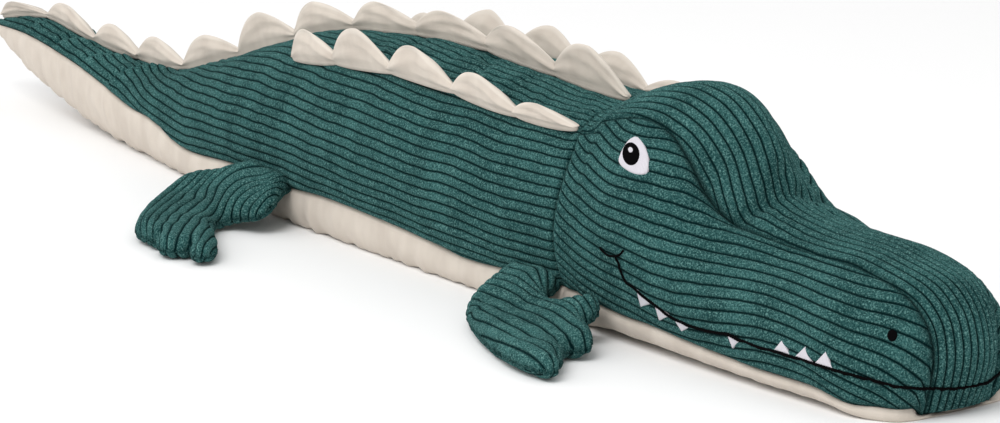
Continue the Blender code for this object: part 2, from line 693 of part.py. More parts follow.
def tooth_rows(x, z_line, teeth, down, side):
    """Strip along the mouth whose height rises and falls once for each tooth."""
    base = []
    middle = []
    top = []
    columns = 4 * teeth + 1
    for number in range(columns):
        part = number / 4
        local = part - math.floor(part)
        rise = 1 - abs(local - 0.5) * 2
        tall = TOOTH_HEIGHT * (0.10 + 0.90 * rise)
        place_x = x + part * TOOTH_WIDTH
        level = z_line(place_x)
        sign = -1 if down else 1
        start = level + sign * (MOUTH_WIDTH / 2 + SEAM_GAP)
        base.append(side_place(place_x, start, side))
        middle.append(side_place(place_x, start + sign * tall / 2, side))
        top.append(side_place(place_x, start + sign * tall, side))
    return [base, middle, top]


def ribbon_rows(points, tree):
    """Two edges of a narrow band that follows places on the skin."""
    centre = [on_skin(tree, point, 0.0)[0] for point in points]
    above = []
    below = []
    for number, point in enumerate(centre):
        ahead = centre[min(number + 1, len(centre) - 1)]
        behind = centre[max(number - 1, 0)]
        run = (ahead - behind).normalized()
        core = Vector((min(point.x, along(EMBROIDERY_CORE_SHARE)), 0.0, point.z))
        outward = (point - core).normalized()
        across = outward.cross(run).normalized() * MOUTH_WIDTH / 2
        above.append(point + across)
        below.append(point - across)
    return [above, below]


def mouth_level(x):
    """Height of the mouth line at one place along the cheek."""
    places = [(along(share[0]), share[1] * BODY_HEIGHT) for share in MOUTH_SHARES]
    for first, second in zip(places, places[1:]):
        if first[0] <= x <= second[0]:
            part = (x - first[0]) / (second[0] - first[0])
            return first[1] + (second[1] - first[1]) * part
    return places[-1][1]


def smooth_places(places, parts):
    result = []
    for number in range((len(places) - 1) * parts + 1):
        result.append(catmull(places, number / parts))
    return result


def build_embroidery(skin):
    tree = skin_tree(skin)
    for side, word in ((-1, "right"), (1, "left")):
        x, z = along(EYE_PLACE_SHARES[0]), EYE_PLACE_SHARES[1] * BODY_HEIGHT
        rows = oval_rows(x, z, EYE_WIDTH, EYE_HEIGHT, side, True)
        stitched_patch("eye_white_" + word, tree, rows, WHITE_COLOUR, STITCH_GAP)
        x += PUPIL_SHIFT_SHARES[0] * EYE_WIDTH
        z += PUPIL_SHIFT_SHARES[1] * EYE_HEIGHT
        rows = oval_rows(x, z, PUPIL_WIDTH, PUPIL_HEIGHT, side, False)
        over = STITCH_GAP + THREAD_THICKNESS + SEAM_GAP
        stitched_patch("pupil_" + word, tree, rows, BLACK_COLOUR, over)
        x, z = along(NOSTRIL_PLACE_SHARES[0]), NOSTRIL_PLACE_SHARES[1] * BODY_HEIGHT
        rows = oval_rows(x, z, NOSTRIL_WIDTH, NOSTRIL_WIDTH, side, False)
        stitched_patch("nostril_" + word, tree, rows, BLACK_COLOUR, STITCH_GAP)
        places = [side_place(along(s[0]), s[1] * BODY_HEIGHT, side) for s in CURL_SHARES]
        rows = ribbon_rows(smooth_places(places, 2), tree)
        stitched_patch("smile_curl_" + word, tree, rows, BLACK_COLOUR, STITCH_GAP)
        rows = tooth_rows(along(UPPER_TRIO_SHARE), mouth_level, 3, True, side)
        stitched_patch("upper_teeth_" + word, tree, rows, WHITE_COLOUR, STITCH_GAP)
        rows = tooth_rows(along(MIDDLE_TOOTH_SHARE), mouth_level, 1, True, side)
        stitched_patch("middle_tooth_" + word, tree, rows, WHITE_COLOUR, STITCH_GAP)
        rows = tooth_rows(along(LOWER_TRIO_SHARE), mouth_level, 3, False, side)
        stitched_patch("lower_teeth_" + word, tree, rows, WHITE_COLOUR, STITCH_GAP)
    right = [side_place(along(s[0]), s[1] * BODY_HEIGHT, -1) for s in MOUTH_SHARES]
    for point in right:
        if point.x > along(EMBROIDERY_CORE_SHARE):
            point.y = -BODY_WIDTH / 2
    nose = [place(3.0, -s[0], s[1]) for s in NOSE_MOUTH_SHARES]
    half = right + nose
    mirrored = [Vector((p.x, -p.y, p.z)) for p in half[:-1]]
    mirrored.reverse()
    rows = ribbon_rows(smooth_places(half + mirrored, 3), tree)
    stitched_patch("mouth_line", tree, rows, BLACK_COLOUR, STITCH_GAP)


def main():
    clear_scene()
    origin = Vector((0.0, 0.0, 0.0))
    skin, rings, _, neck_row, tail_loop, neck_loop = body_skin()
    build_body(skin, tail_loop, neck_loop, origin)
    build_scutes(rings, neck_row)
    build_paws(rings, neck_row)
    build_embroidery(skin)


main()
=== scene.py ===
# Stuffed crocodile: ribbed cord covers, a cream cotton belly, padded scutes, flat paws and stitched eyes,
# teeth and mouth. Everything is in metres, nose towards +X, floor at zero.
import bpy
import bmesh
import math
import numpy as np
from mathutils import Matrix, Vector
from mathutils.bvhtree import BVHTree
from mathutils.geometry import delaunay_2d_cdt


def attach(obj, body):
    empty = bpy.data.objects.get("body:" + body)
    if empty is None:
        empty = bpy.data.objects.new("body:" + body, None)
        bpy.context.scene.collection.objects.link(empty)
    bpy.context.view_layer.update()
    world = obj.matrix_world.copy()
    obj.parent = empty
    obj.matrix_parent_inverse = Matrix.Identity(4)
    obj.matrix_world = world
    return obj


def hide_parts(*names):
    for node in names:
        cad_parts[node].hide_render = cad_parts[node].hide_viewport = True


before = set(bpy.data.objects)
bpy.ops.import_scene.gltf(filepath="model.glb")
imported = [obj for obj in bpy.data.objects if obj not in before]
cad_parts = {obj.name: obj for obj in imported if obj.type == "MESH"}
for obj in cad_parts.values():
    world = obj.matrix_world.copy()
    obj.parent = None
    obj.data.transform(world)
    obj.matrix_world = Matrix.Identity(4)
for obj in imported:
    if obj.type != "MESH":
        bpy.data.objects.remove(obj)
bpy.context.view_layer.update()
scene = bpy.context.scene
print("frame loaded:", len(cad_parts), "nodes")

# camera at the photograph's angle
shot = {
    "azimuth": 53.54, "elevation": 13.72, "distance": 1.9608, "target": (0.084, 0.0, 0.0242),
    "lens": 138.24, "sensor": 36.0,
}


def addObject(name, data):
    item = bpy.data.objects.new(name, data)
    scene.collection.objects.link(item)
    return item


def placeCamera(shot):
    turn, lift = math.radians(shot["azimuth"]), math.radians(shot["elevation"])
    back = Vector((math.sin(turn) * math.cos(lift), -math.cos(turn) * math.cos(lift), math.sin(lift)))
    data = bpy.data.cameras.new("shotCamera")
    data.lens = shot["lens"]
    data.sensor_width = shot["sensor"]
    data.sensor_fit = "HORIZONTAL"
    camera = addObject("shotCamera", data)
    camera.location = Vector(shot["target"]) + back * shot["distance"]
    camera.rotation_euler = back.to_track_quat("Z", "Y").to_euler()
    scene.camera = camera


placeCamera(shot)

# studio: pale floor, white surroundings, two large soft lamps
studio = {
    "floorColour": (0.90, 0.90, 0.90), "floorRoughness": 0.85, "floorSize": 14.0,
    "sky": (1.0, 1.0, 1.0), "skyStrength": 0.85,
    "keyLamp": {"place": (0.5, -1.3, 1.9), "aim": (0.1, 0.0, 0.05), "size": 1.6, "power": 26.0},
    "fillLamp": {"place": (-1.3, -1.6, 0.9), "aim": (0.0, 0.0, 0.05), "size": 2.2, "power": 7.0},
}


def softLamp(name, settings):
    data = bpy.data.lights.new(name, "AREA")
    data.shape = "DISK"
    data.size = settings["size"]
    data.energy = settings["power"]
    lamp = addObject(name, data)
    lamp.location = settings["place"]
    lamp.rotation_euler = (lamp.location - Vector(settings["aim"])).to_track_quat("Z", "Y").to_euler()


def buildStudio(studio):
    world = bpy.data.worlds.new("paleRoom")
    world.use_nodes = True
    sky = world.node_tree.nodes["Background"]
    sky.inputs["Color"].default_value = (*studio["sky"], 1.0)
    sky.inputs["Strength"].default_value = studio["skyStrength"]
    scene.world = world
    half = studio["floorSize"] / 2
    mesh = bpy.data.meshes.new("paleFloor")
    corners = [(x * half, y * half, 0) for x, y in ((-1, -1), (1, -1), (1, 1), (-1, 1))]
    mesh.from_pydata(corners, [], [(0, 1, 2, 3)])
    floor = addObject("paleFloor", mesh)
    finish = bpy.data.materials.new("paleFloor")
    finish.use_nodes = True
    shader = finish.node_tree.nodes["Principled BSDF"]
    shader.inputs["Base Color"].default_value = (*studio["floorColour"], 1.0)
    shader.inputs["Roughness"].default_value = studio["floorRoughness"]
    mesh.materials.append(finish)
    softLamp("keyLamp", studio["keyLamp"])
    softLamp("fillLamp", studio["fillLamp"])
    scene.view_settings.view_transform = "Standard"


buildStudio(studio)
print("camera and studio set")
# the cut: stations along the toy, from tail tip to chin. A place along it is a share of the tail
# (0 to 1), the torso (1 to 2) and the head (2 to 3); sideways shares are of half the width
cut = {
    "tail": 0.335, "torso": 0.304, "head": 0.233, "width": 0.118, "height": 0.106,
    "neckRow": 11, "bellyFullness": 1.05, "spineFullness": 0.58, "flatTowardsKeel": 0.55,
    "stopFullness": 0.30, "stopPlace": 2.37, "stopReach": 0.022,
    # belly seam, fullness of the side, upper seam, spine, keel, half width that lies flat
    "rows": (
        ((0, 0.041, 0.392), (0.037, 0.398), (0, 0.025, 0.404), (0, 0.406), (0, 0.379), 0.017),
        ((0.036, 0.119, 0.406), (0.11, 0.432), (0.036, 0.068, 0.434), (0.036, 0.439), (0.036, 0.344), 0.051),
        ((0.182, 0.246, 0.425), (0.237, 0.481), (0.182, 0.136, 0.495), (0.182, 0.509), (0.182, 0.193), 0.102),
        ((0.355, 0.347, 0.381), (0.339, 0.438), (0.355, 0.195, 0.446), (0.355, 0.458), (0.355, 0.074), 0.153),
        ((0.496, 0.441, 0.321), (0.424, 0.41), (0.496, 0.237, 0.421), (0.496, 0.432), (0.496, 0.015), 0.203),
        ((0.654, 0.542, 0.224), (0.576, 0.425), (0.654, 0.305, 0.442), (0.654, 0.458), (0.654, 0), 0.305),
        ((0.824, 0.661, 0.165), (0.78, 0.462), (0.824, 0.39, 0.571), (0.824, 0.613), (0.824, 0), 0.458),
        ((1, 0.763, 0.197), (0.966, 0.472), (1, 0.492, 0.717), (1, 0.792), (1, 0), 0.593),
        ((1.181, 0.831, 0.21), (1.085, 0.481), (1.181, 0.576, 0.797), (1.181, 0.925), (1.181, 0), 0.678),
        ((1.411, 0.869, 0.203), (1.186, 0.481), (1.411, 0.644, 0.825), (1.411, 0.967), (1.411, 0), 0.72),
        ((1.707, 0.868, 0.168), (1.203, 0.481), (1.707, 0.678, 0.849), (1.707, 0.97), (1.707, 0), 0.729),
        ((2, 0.847, 0.16), (1.119, 0.481), (1.993, 0.678, 0.868), (1.957, 0.939), (2, 0), 0.712),
        ((2.09, 0.885, 0.151), (1.161, 0.505), (2.073, 0.637, 0.958), (2.021, 1.009), (2.09, 0), 0.729),
        ((2.202, 0.905, 0.136), (1.203, 0.519), (2.163, 0.559, 0.995), (2.124, 1.09), (2.202, 0), 0.746),
        ((2.292, 0.907, 0.14), (1.203, 0.509), (2.227, 0.508, 0.958), (2.227, 1.123), (2.292, 0), 0.746),
        ((2.361, 0.898, 0.135), (1.186, 0.472), (2.283, 0.483, 0.854), (2.315, 1.085), (2.361, 0), 0.746),
        ((2.433, 0.89, 0.132), (1.169, 0.429), (2.335, 0.466, 0.717), (2.384, 0.968), (2.433, 0), 0.746),
        ((2.511, 0.881, 0.13), (1.153, 0.401), (2.386, 0.441, 0.632), (2.43, 0.806), (2.511, 0), 0.737),
        ((2.614, 0.861, 0.12), (1.127, 0.373), (2.459, 0.424, 0.594), (2.476, 0.67), (2.614, 0), 0.729),
        ((2.768, 0.822, 0.104), (1.068, 0.349), (2.639, 0.407, 0.583), (2.639, 0.627), (2.768, 0), 0.703),
        ((2.854, 0.79, 0.099), (1, 0.335), (2.779, 0.397, 0.578), (2.785, 0.616), (2.854, 0), 0.669),
        ((2.908, 0.72, 0.092), (0.881, 0.297), (2.886, 0.376, 0.531), (2.91, 0.561), (2.908, 0), 0.593),
        ((2.936, 0.636, 0.085), (0.763, 0.255), (2.94, 0.351, 0.448), (2.968, 0.472), (2.936, 0.002), 0.525),
        ((2.948, 0.551, 0.08), (0.636, 0.198), (2.964, 0.327, 0.354), (2.994, 0.368), (2.953, 0.006), 0.441),
        ((2.955, 0.458, 0.075), (0.5, 0.137), (2.97, 0.317, 0.226), (3, 0.226), (2.964, 0.009), 0.356),
        ((2.953, 0.331, 0.064), (0.331, 0.064), (2.953, 0.331, 0.064), (2.968, 0.021), (2.968, 0.021), 0.203),
    ),
}


def alongToy(share):
    share = np.asarray(share, float)
    length = cut["tail"] + cut["torso"] + cut["head"]
    tail = np.minimum(share, 1.0) * cut["tail"]
    torso = np.clip(share - 1.0, 0.0, 1.0) * cut["torso"]
    return tail + torso + np.maximum(share - 2.0, 0.0) * cut["head"] - length / 2


def stationTable():
    table = np.zeros((len(cut["rows"]), 6, 3))  # keel, flat, seam, flank, upper seam, spine
    half, tall = cut["width"] / 2, cut["height"]
    for number, (seam, flank, upper, spine, keel, flat) in enumerate(cut["rows"]):
        table[number, 2] = (alongToy(seam[0]), seam[1] * half, seam[2] * tall)
        table[number, 4] = (alongToy(upper[0]), upper[1] * half, upper[2] * tall)
        table[number, 5] = (alongToy(spine[0]), 0.0, spine[1] * tall)
        table[number, 0] = (alongToy(keel[0]), 0.0, keel[1] * tall)
        flatX = table[number, 2, 0] + (table[number, 0, 0] - table[number, 2, 0]) * cut["flatTowardsKeel"]
        table[number, 1] = (flatX, flat * half, keel[1] * tall)
        middleX = (table[number, 2, 0] + table[number, 4, 0]) / 2
        table[number, 3] = (middleX, flank[0] * half, flank[1] * tall)
    return table


# where the sewn toy leaves its cut: (track, place along it, reach, rise). The tracks count from the keel: 2 is the
# belly seam, 4 the upper seam and 5 the spine
eases = (
    (4, 1.49, 0.066, 0.0060), (5, 1.48, 0.052, 0.0032),
    (2, 0.70, 0.026, 0.0040), (2, 1.21, 0.026, -0.0022), (2, 1.75, 0.032, -0.0026), (2, 2.58, 0.055, -0.0030),
)
# the chin turns under, the nose is a little slimmer, and stuffing rounds the jaw's flat underside
chinTuck = {"firstRow": 20, "lower": 0.68, "endHeight": 0.0009, "noseRow": 21, "slimmer": 0.93}
underJaw = {"start": 2.02, "end": 2.92, "ramp": 0.035, "rounder": 0.60}


def easeChin(table):
    table[chinTuck["firstRow"]:, 2, 2] *= chinTuck["lower"]
    table[chinTuck["noseRow"]:-1, 2:4, 1] *= chinTuck["slimmer"]
    table[-1, :, 2] = np.minimum(table[-1, :, 2], chinTuck["endHeight"])
    return table
stations = easeChin(stationTable())


def smoothRows(table, steps):
    last = len(table) - 1
    index = np.clip(np.floor(steps).astype(int), 0, last - 1)
    part = (steps - index)[:, None, None]
    p1, p2 = table[index], table[index + 1]
    p0 = np.where((index > 0)[:, None, None], table[np.maximum(index - 1, 0)], p1 * 2 - p2)
    p3 = np.where((index + 2 <= last)[:, None, None], table[np.minimum(index + 2, last)], p2 * 2 - p1)
    square = p0 * 2 - p1 * 5 + p2 * 4 - p3
    cube = p1 * 3 - p0 - p2 * 3 + p3
    return (p1 * 2 + (p2 - p0) * part + square * part ** 2 + cube * part ** 3) / 2


def bendCurve(start, middle, end, count):
    t = np.linspace(0, 1, count)[None, :, None]
    return start[:, None] * (1 - t) ** 2 + middle[:, None] * 2 * t * (1 - t) + end[:, None] * t ** 2


def controlsAt(steps):
    points = smoothRows(stations, np.asarray(steps, float))
    for track, place, reach, rise in eases:
        points[:, track, 2] += rise * np.exp(-((points[:, track, 0] - alongToy(place)) / reach) ** 2)
    points[:, :, 2] = np.maximum(points[:, :, 2], 0.0)
    flat = points[:, 1]
    start, end = alongToy((underJaw["start"], underJaw["end"]))
    flat[:, 1] *= 1 - underJaw["rounder"] * between(flat[:, 0], start, end, underJaw["ramp"], underJaw["ramp"])
    return points


def backCurve(points, count):
    crown = points[:, 5].copy()
    stop = np.exp(-((points[:, 4, 0] - alongToy(cut["stopPlace"])) / cut["stopReach"]) ** 2)
    fullness = cut["spineFullness"] + (cut["stopFullness"] - cut["spineFullness"]) * stop
    crown[:, 1] = points[:, 4, 1] * fullness
    return bendCurve(points[:, 5], crown, points[:, 4], count)


def sideCurve(points, count):
    return bendCurve(points[:, 4], points[:, 3], points[:, 2], count)


def bellyCurve(points, count):
    under = points[:, 2].copy()
    under[:, 1] *= cut["bellyFullness"]
    under[:, 2] = points[:, 0, 2]
    curve = bendCurve(points[:, 1], under, points[:, 2], count)
    t = np.linspace(0, 1, count)[None, :, None]
    flat = points[:, 0][:, None] * (1 - t) + points[:, 1][:, None] * t
    return np.concatenate([flat, curve[:, 1:]], axis=1)


def lengths(steps):
    # the lengths of steps added up, from nought at the first point
    total = np.cumsum(np.linalg.norm(steps, axis=-1), axis=-1)
    return np.concatenate([np.zeros((*total.shape[:-1], 1)), total], axis=-1)


def placesOn(line, run, at):
    # the places on a line where its run reaches the asked values
    return np.stack([np.interp(at, run, line[:, axis]) for axis in range(line.shape[1])], axis=-1)


def evenSteps(low, high, spacing, track):
    fine = np.linspace(low, high, 900)
    points = controlsAt(fine)[:, track]
    run = lengths(np.diff(points, axis=0))
    count = max(int(round(run[-1] / spacing)), 2)
    return np.interp(np.linspace(0, run[-1], count + 1), run, fine)


def softNoise(points, size, seed):
    # nine waves of about one length in chance directions
    chance = np.random.default_rng(seed)
    total = np.zeros(points.shape[:-1])
    for wave in range(9):
        direction = chance.normal(size=3)
        direction *= 2 * math.pi / size * chance.uniform(0.55, 1.5) / np.linalg.norm(direction)
        total += np.sin(points @ direction + chance.uniform(0, 2 * math.pi))
    return total / 3


def smoothStep(value):
    value = np.clip(value, 0.0, 1.0)
    return value * value * (3 - 2 * value)


def between(value, low, high, rise, fall):
    # 1 inside a stretch, and smoothly down to 0 at its two ends
    return smoothStep((value - low) / rise) * smoothStep((high - value) / fall)


def hump(value, middle, breadth):
    return np.exp(-((value - middle) / breadth) ** 2)


def unit(vectors):
    return vectors / np.maximum(np.linalg.norm(vectors, axis=-1, keepdims=True), 1e-9)


# ribbed cord: wales 5 mm apart, each sampled at the same eight places so that its grooves stay crisp
cord = {
    "pitch": 0.005, "ribHeight": 0.00125, "ribSquareness": 3.0, "rowSpacing": 0.0028, "turnIn": 0.0022,
    "ribPhases": (0.0, 0.07, 0.16, 0.30, 0.5, 0.70, 0.84, 0.93),
    # seamShade is how far the painted shade along the seams reaches, neckShade its strength along the neck
    "seamDip": 0.0011, "seamReach": 0.0022, "seamShade": 0.0010, "ribFade": 0.0018,
    "neckDip": 0.0005, "neckReach": 0.0016, "neckShade": 0.25, "neckFade": 2.5,
    "foldHeight": 0.00055, "foldSize": 0.06, "foldFade": 0.010,
    "wander": 0.00055, "longSway": 0.055, "shortSway": 0.020, "shortShare": 0.35,
}
def surfaceFrame(ring):
    # directions along and out of a half surface of rings, on its +Y side. Where it is thin, out is away from the core
    alongWay = unit(np.gradient(ring, axis=0))
    across = unit(np.gradient(ring, axis=1))
    normal = np.cross(across, alongWay)
    thin = np.linalg.norm(normal, axis=2, keepdims=True) < 0.05
    core = ring.copy()
    core[..., 1] = 0.0
    core[..., 2] = 0.04
    if np.sum(normal * (ring - core)) < 0:
        normal = -normal
    normal = np.where(thin, unit(ring - core), unit(normal))
    return alongWay, normal


def evenedRows(values, reach):
    # each column of values smoothed along the rows, their ends held
    steps = np.arange(-3 * reach, 3 * reach + 1)
    weights = np.exp(-(steps / reach) ** 2 / 2)
    before, after = values[:1] * 2 - values[3 * reach:0:-1], values[-1:] * 2 - values[-2:-3 * reach - 2:-1]
    padded = np.concatenate([before, values, after])
    return np.stack([np.convolve(column, weights / weights.sum(), "valid") for column in padded.T], axis=1)


def layWales(ring, shift, wander, seed, evening=0, gather=1.0):
    # columns that follow the wales of a half surface: ring is (rows, samples, 3), shift how far each row's wales
    # stand from their own number at that row. Columns past an edge collapse onto it
    alongWay, normal = surfaceFrame(ring)
    step = np.diff(ring, axis=1)
    middle = unit(alongWay[:, 1:] + alongWay[:, :-1])
    straight = step - middle * np.sum(step * middle, axis=2, keepdims=True)
    breadth = lengths(straight)
    if evening:
        breadth = evenedRows(breadth, evening)
    breadth = breadth * gather + np.linspace(0, 1e-7, ring.shape[1])[None]
    width = breadth[:, -1]
    first = math.floor((-np.max(shift)) / cord["pitch"]) - 1
    last = math.ceil(np.max(width - shift) / cord["pitch"]) + 1
    wale = np.array([number + phase for number in range(first, last) for phase in cord["ribPhases"]])
    run = lengths(np.diff(ring[:, ring.shape[1] // 3], axis=0))
    grid = np.stack(np.broadcast_arrays(run[:, None] * 1.0, wale[None] * cord["pitch"], seed * 1.7), axis=2)
    sway = softNoise(grid * (1.0, 0.5, 1.0), cord["longSway"], seed)
    sway = wander * (sway + softNoise(grid, cord["shortSway"], seed + 1) * cord["shortShare"])
    wanted = wale[None] * cord["pitch"] + shift[:, None] + sway
    reach = np.clip(wanted, 0.0, width[:, None])
    number = np.where(reach == wanted, wale[None], (reach - shift[:, None] - sway) / cord["pitch"])
    points, normals = np.zeros((*reach.shape, 3)), np.zeros((*reach.shape, 3))
    for row in range(len(ring)):
        for axis in range(3):
            points[row, :, axis] = np.interp(reach[row], breadth[row], ring[row, :, axis])
            normals[row, :, axis] = np.interp(reach[row], breadth[row], normal[row, :, axis])
    return {
        "points": points, "normals": unit(normals), "wale": number, "reach": reach,
        "width": np.broadcast_to(width[:, None], reach.shape), "run": np.broadcast_to(run[:, None], reach.shape),
        "low": wanted <= 0.0, "high": wanted >= width[:, None],
    }


def seamWays(steps, track):
    # the way out of the toy along a seam, halfway between the two covers that meet there
    controls = controlsAt(steps)
    side = surfaceFrame(sideCurve(controls, 30))[1]
    if track == 4:
        return unit(side[:, 0] + surfaceFrame(backCurve(controls, 30))[1][:, -1])
    return unit(side[:, -1] + surfaceFrame(bellyCurve(controls, 30))[1][:, -1])


chinWay = unit(np.array([0.75, 0.0, -0.65]))


def shareSeam(normals, ways, distance):
    # turns the normals near an edge to the seam's own
    near = np.exp(-(distance / cord["seamReach"]) ** 2)[..., None]
    return unit(normals * (1 - near) + ways[:, None] * near)


def ribProfile(wale):
    part = np.mod(wale, 1.0)
    return 1.0 - np.abs(part * 2 - 1) ** cord["ribSquareness"]


def mirrored(cloth, side):
    if side < 0:
        for key in ("points", "normals"):
            cloth[key] = cloth[key] * (1.0, -1.0, 1.0)
    return cloth


def seamShape(distance, toNeck=1.0):
    # the neck seam is pulled in less than the others
    dip = (1 - smoothStep(distance / cord["seamReach"])) * cord["seamDip"]
    return np.maximum(dip, (1 - smoothStep(toNeck / cord["neckReach"])) * cord["neckDip"])


# painted shade along the seams: the cord darkens towards each seam, with a weaker band along the neck
def seamShade(distance, toNeck=1.0):
    shade = np.exp(-distance / cord["seamShade"])
    return np.maximum(shade, cord["neckShade"] * np.exp(-np.maximum(toNeck, 0.0) / cord["seamShade"]))


def keepNumbers(mesh, values):
    # numbers on a mesh's points that its finish reads
    for key, numbers in values.items():
        mesh.attributes.new(key, "FLOAT", "POINT").data.foreach_set("value", np.array(numbers, np.float32))


def makeSheet(name, points, normals, values, merges, turned):
    # one open sheet of cloth from a grid, its edges turned in under it. values are numbers kept on its points
    rows, columns = points.shape[:2]
    grid = np.full((rows + 2, columns + 2), -1)
    places, kept = [], {key: [] for key in values}

    def keep(place, row, column):
        places.append(place)
        for key in values:
            kept[key].append(values[key][row, column])
        return len(places) - 1

    for row in range(rows):
        shared = {}  # all points past an edge are one point
        for column in range(columns):
            place = "low" if merges[0][row, column] else "high" if merges[1][row, column] else column
            if place not in shared:
                shared[place] = keep(points[row, column], row, column)
            grid[row + 1, column + 1] = shared[place]
    tucked = points - normals * cord["turnIn"]
    for edge, column, at in ((0, 0, 0), (1, columns - 1, columns + 1)):
        if turned[edge]:
            for row in range(rows):
                grid[row + 1, at] = keep(tucked[row, column], row, column)
    for edge, row, at in ((2, 0, 0), (3, rows - 1, rows + 1)):
        if turned[edge]:
            seen = {}
            for column in range(columns):
                base = grid[row + 1, column + 1]
                if base not in seen:
                    seen[base] = keep(tucked[row, column], row, column)
                grid[at, column + 1] = seen[base]
    faces = []
    for row in range(rows + 1):
        for column in range(columns + 1):
            corners = (*grid[row, column:column + 2], *grid[row + 1, column:column + 2][::-1])
            if min(corners) < 0:
                continue
            ring = [c for number, c in enumerate(corners) if c != corners[number - 1]]
            if len(ring) >= 3 and len(set(ring)) == len(ring):
                faces.append(ring)
    mesh = bpy.data.meshes.new(name)
    mesh.from_pydata([tuple(p) for p in places], [], faces)
    keepNumbers(mesh, kept)
    used = mesh.polygons[len(mesh.polygons) // 2]
    nearest = np.argmin(np.sum((points - np.array(used.center)) ** 2, axis=2))
    if used.normal.dot(Vector(normals.reshape(-1, 3)[nearest])) < 0:
        mesh.flip_normals()
    mesh.shade_smooth()
    return addObject(name, mesh)


def ribLift(cloth, edge, toNeck):
    # what every cord cover shares: ribs that fade at its seams, sunk seams and a soft unevenness
    fade = smoothStep(np.minimum(edge, toNeck * cord["neckFade"]) / cord["ribFade"])
    ribs = (ribProfile(cloth["wale"]) * fade - 0.5) * cord["ribHeight"]
    uneven = softNoise(cloth["points"], cord["foldSize"], 5) * cord["foldHeight"]
    return ribs - seamShape(edge, toNeck) + uneven * smoothStep(edge / cord["foldFade"])


def sewCover(name, cloth, lift, edge, toNeck, turned):
    points = cloth["points"] + cloth["normals"] * lift[..., None]
    points[..., 2] = np.maximum(points[..., 2], 0.0)
    values = {"wale": cloth["wale"], "seamShadeMask": seamShade(edge, toNeck)}
    return makeSheet(name, points, cloth["normals"], values, (cloth["low"], cloth["high"]), turned)


def pucker(kind, run, reach, noise):
    # a row of small waves beside a seam
    wave = run * 2 * math.pi / kind["pitch"] + noise * kind["uneven"] + reach * kind["lean"]
    return kind["height"] * np.sin(wave)


def foldShape(kind, off):
    # one sharp crease and a swelling beside it
    return kind["swell"] * hump(off, kind["swellPlace"], kind["swellReach"]) - hump(off, 0.0, kind["crease"])


# body covers: one cord side each, from the spine seam down to the belly seam. Each fold has its place and depth
flanks = {
    "evening": 6, "tipRun": 0.012, "foldEdge": 0.006,
    "sideRow": (1.161, 1.985), "rowDip": 0.0016, "rowReach": 0.0030, "rowMargin": 0.004,
    "tailEnd": 0.75, "tailRamp": 0.06, "tailFall": 0.022,
    "tailPucker": {"height": 0.0005, "pitch": 0.0135, "uneven": 1.4, "lean": 90},
    "tailFolds": ((0.20, 0.0020), (0.33, 0.0044), (0.455, 0.0052), (0.58, 0.0068)),
    "tailFold": {"slope": 0.75, "crease": 0.0036, "swell": 0.45, "swellPlace": 0.0085, "swellReach": 0.0065},
    "foldTop": 0.008, "foldFall": 0.026, "foldWander": 0.0015,
    "backStart": 1.25, "backRamp": 0.05, "backEdge": 0.006,
    "backPucker": {"height": 0.0005, "pitch": 0.034, "uneven": 1.82, "lean": -110},
    "backFolds": ((1.39, 0.0022), (1.60, 0.0024)),
    "backFold": {"slope": -0.6, "crease": 0.0045, "swell": 0.6, "swellPlace": 0.010, "swellReach": 0.008},
    "backFoldEnds": (0.004, 0.008),
    "neckFall": 0.016, "neckEdge": 0.004, "neckRamp": 0.008,
    "neckGather": {"height": 0.0008, "pitch": 0.0085, "uneven": 2.24, "lean": -150},
}


def flankFolds(cloth, x, backWidth):
    reach, run, points = cloth["width"] - cloth["reach"], cloth["run"], cloth["points"]  # reach is from the spine
    noise = softNoise(points, 0.03, 11)
    onTail = 1 - smoothStep((x - alongToy(flanks["tailEnd"])) / flanks["tailRamp"])
    onBack = smoothStep((x - alongToy(flanks["backStart"])) / flanks["backRamp"])
    onBack = onBack * smoothStep((backWidth - reach) / flanks["backEdge"] + 0.5)
    atNeck = np.exp(-(alongToy(2.0) - x) / flanks["neckFall"])
    atNeck = atNeck * smoothStep((backWidth + flanks["neckEdge"] - reach) / flanks["neckRamp"])
    lift = onTail * np.exp(-reach / flanks["tailFall"]) * pucker(flanks["tailPucker"], run, reach, noise)
    lift += onBack * pucker(flanks["backPucker"], run, reach, noise)
    lift += atNeck * pucker(flanks["neckGather"], run, reach, noise)
    # the tail's folds run down and back from the spine seam, the back's down and forward
    onSide = hump(reach, flanks["foldTop"], flanks["foldFall"])
    acrossBack = between(reach, 0.0, backWidth, *flanks["backFoldEnds"])
    for folds, kind, seed, fall in (("tailFolds", "tailFold", 13, onSide), ("backFolds", "backFold", 14, acrossBack)):
        bent = x + reach * flanks[kind]["slope"] + softNoise(points, 0.03, seed) * flanks["foldWander"]
        for place, deep in flanks[folds]:
            lift += deep * foldShape(flanks[kind], bent - alongToy(place)) * fall
    return lift


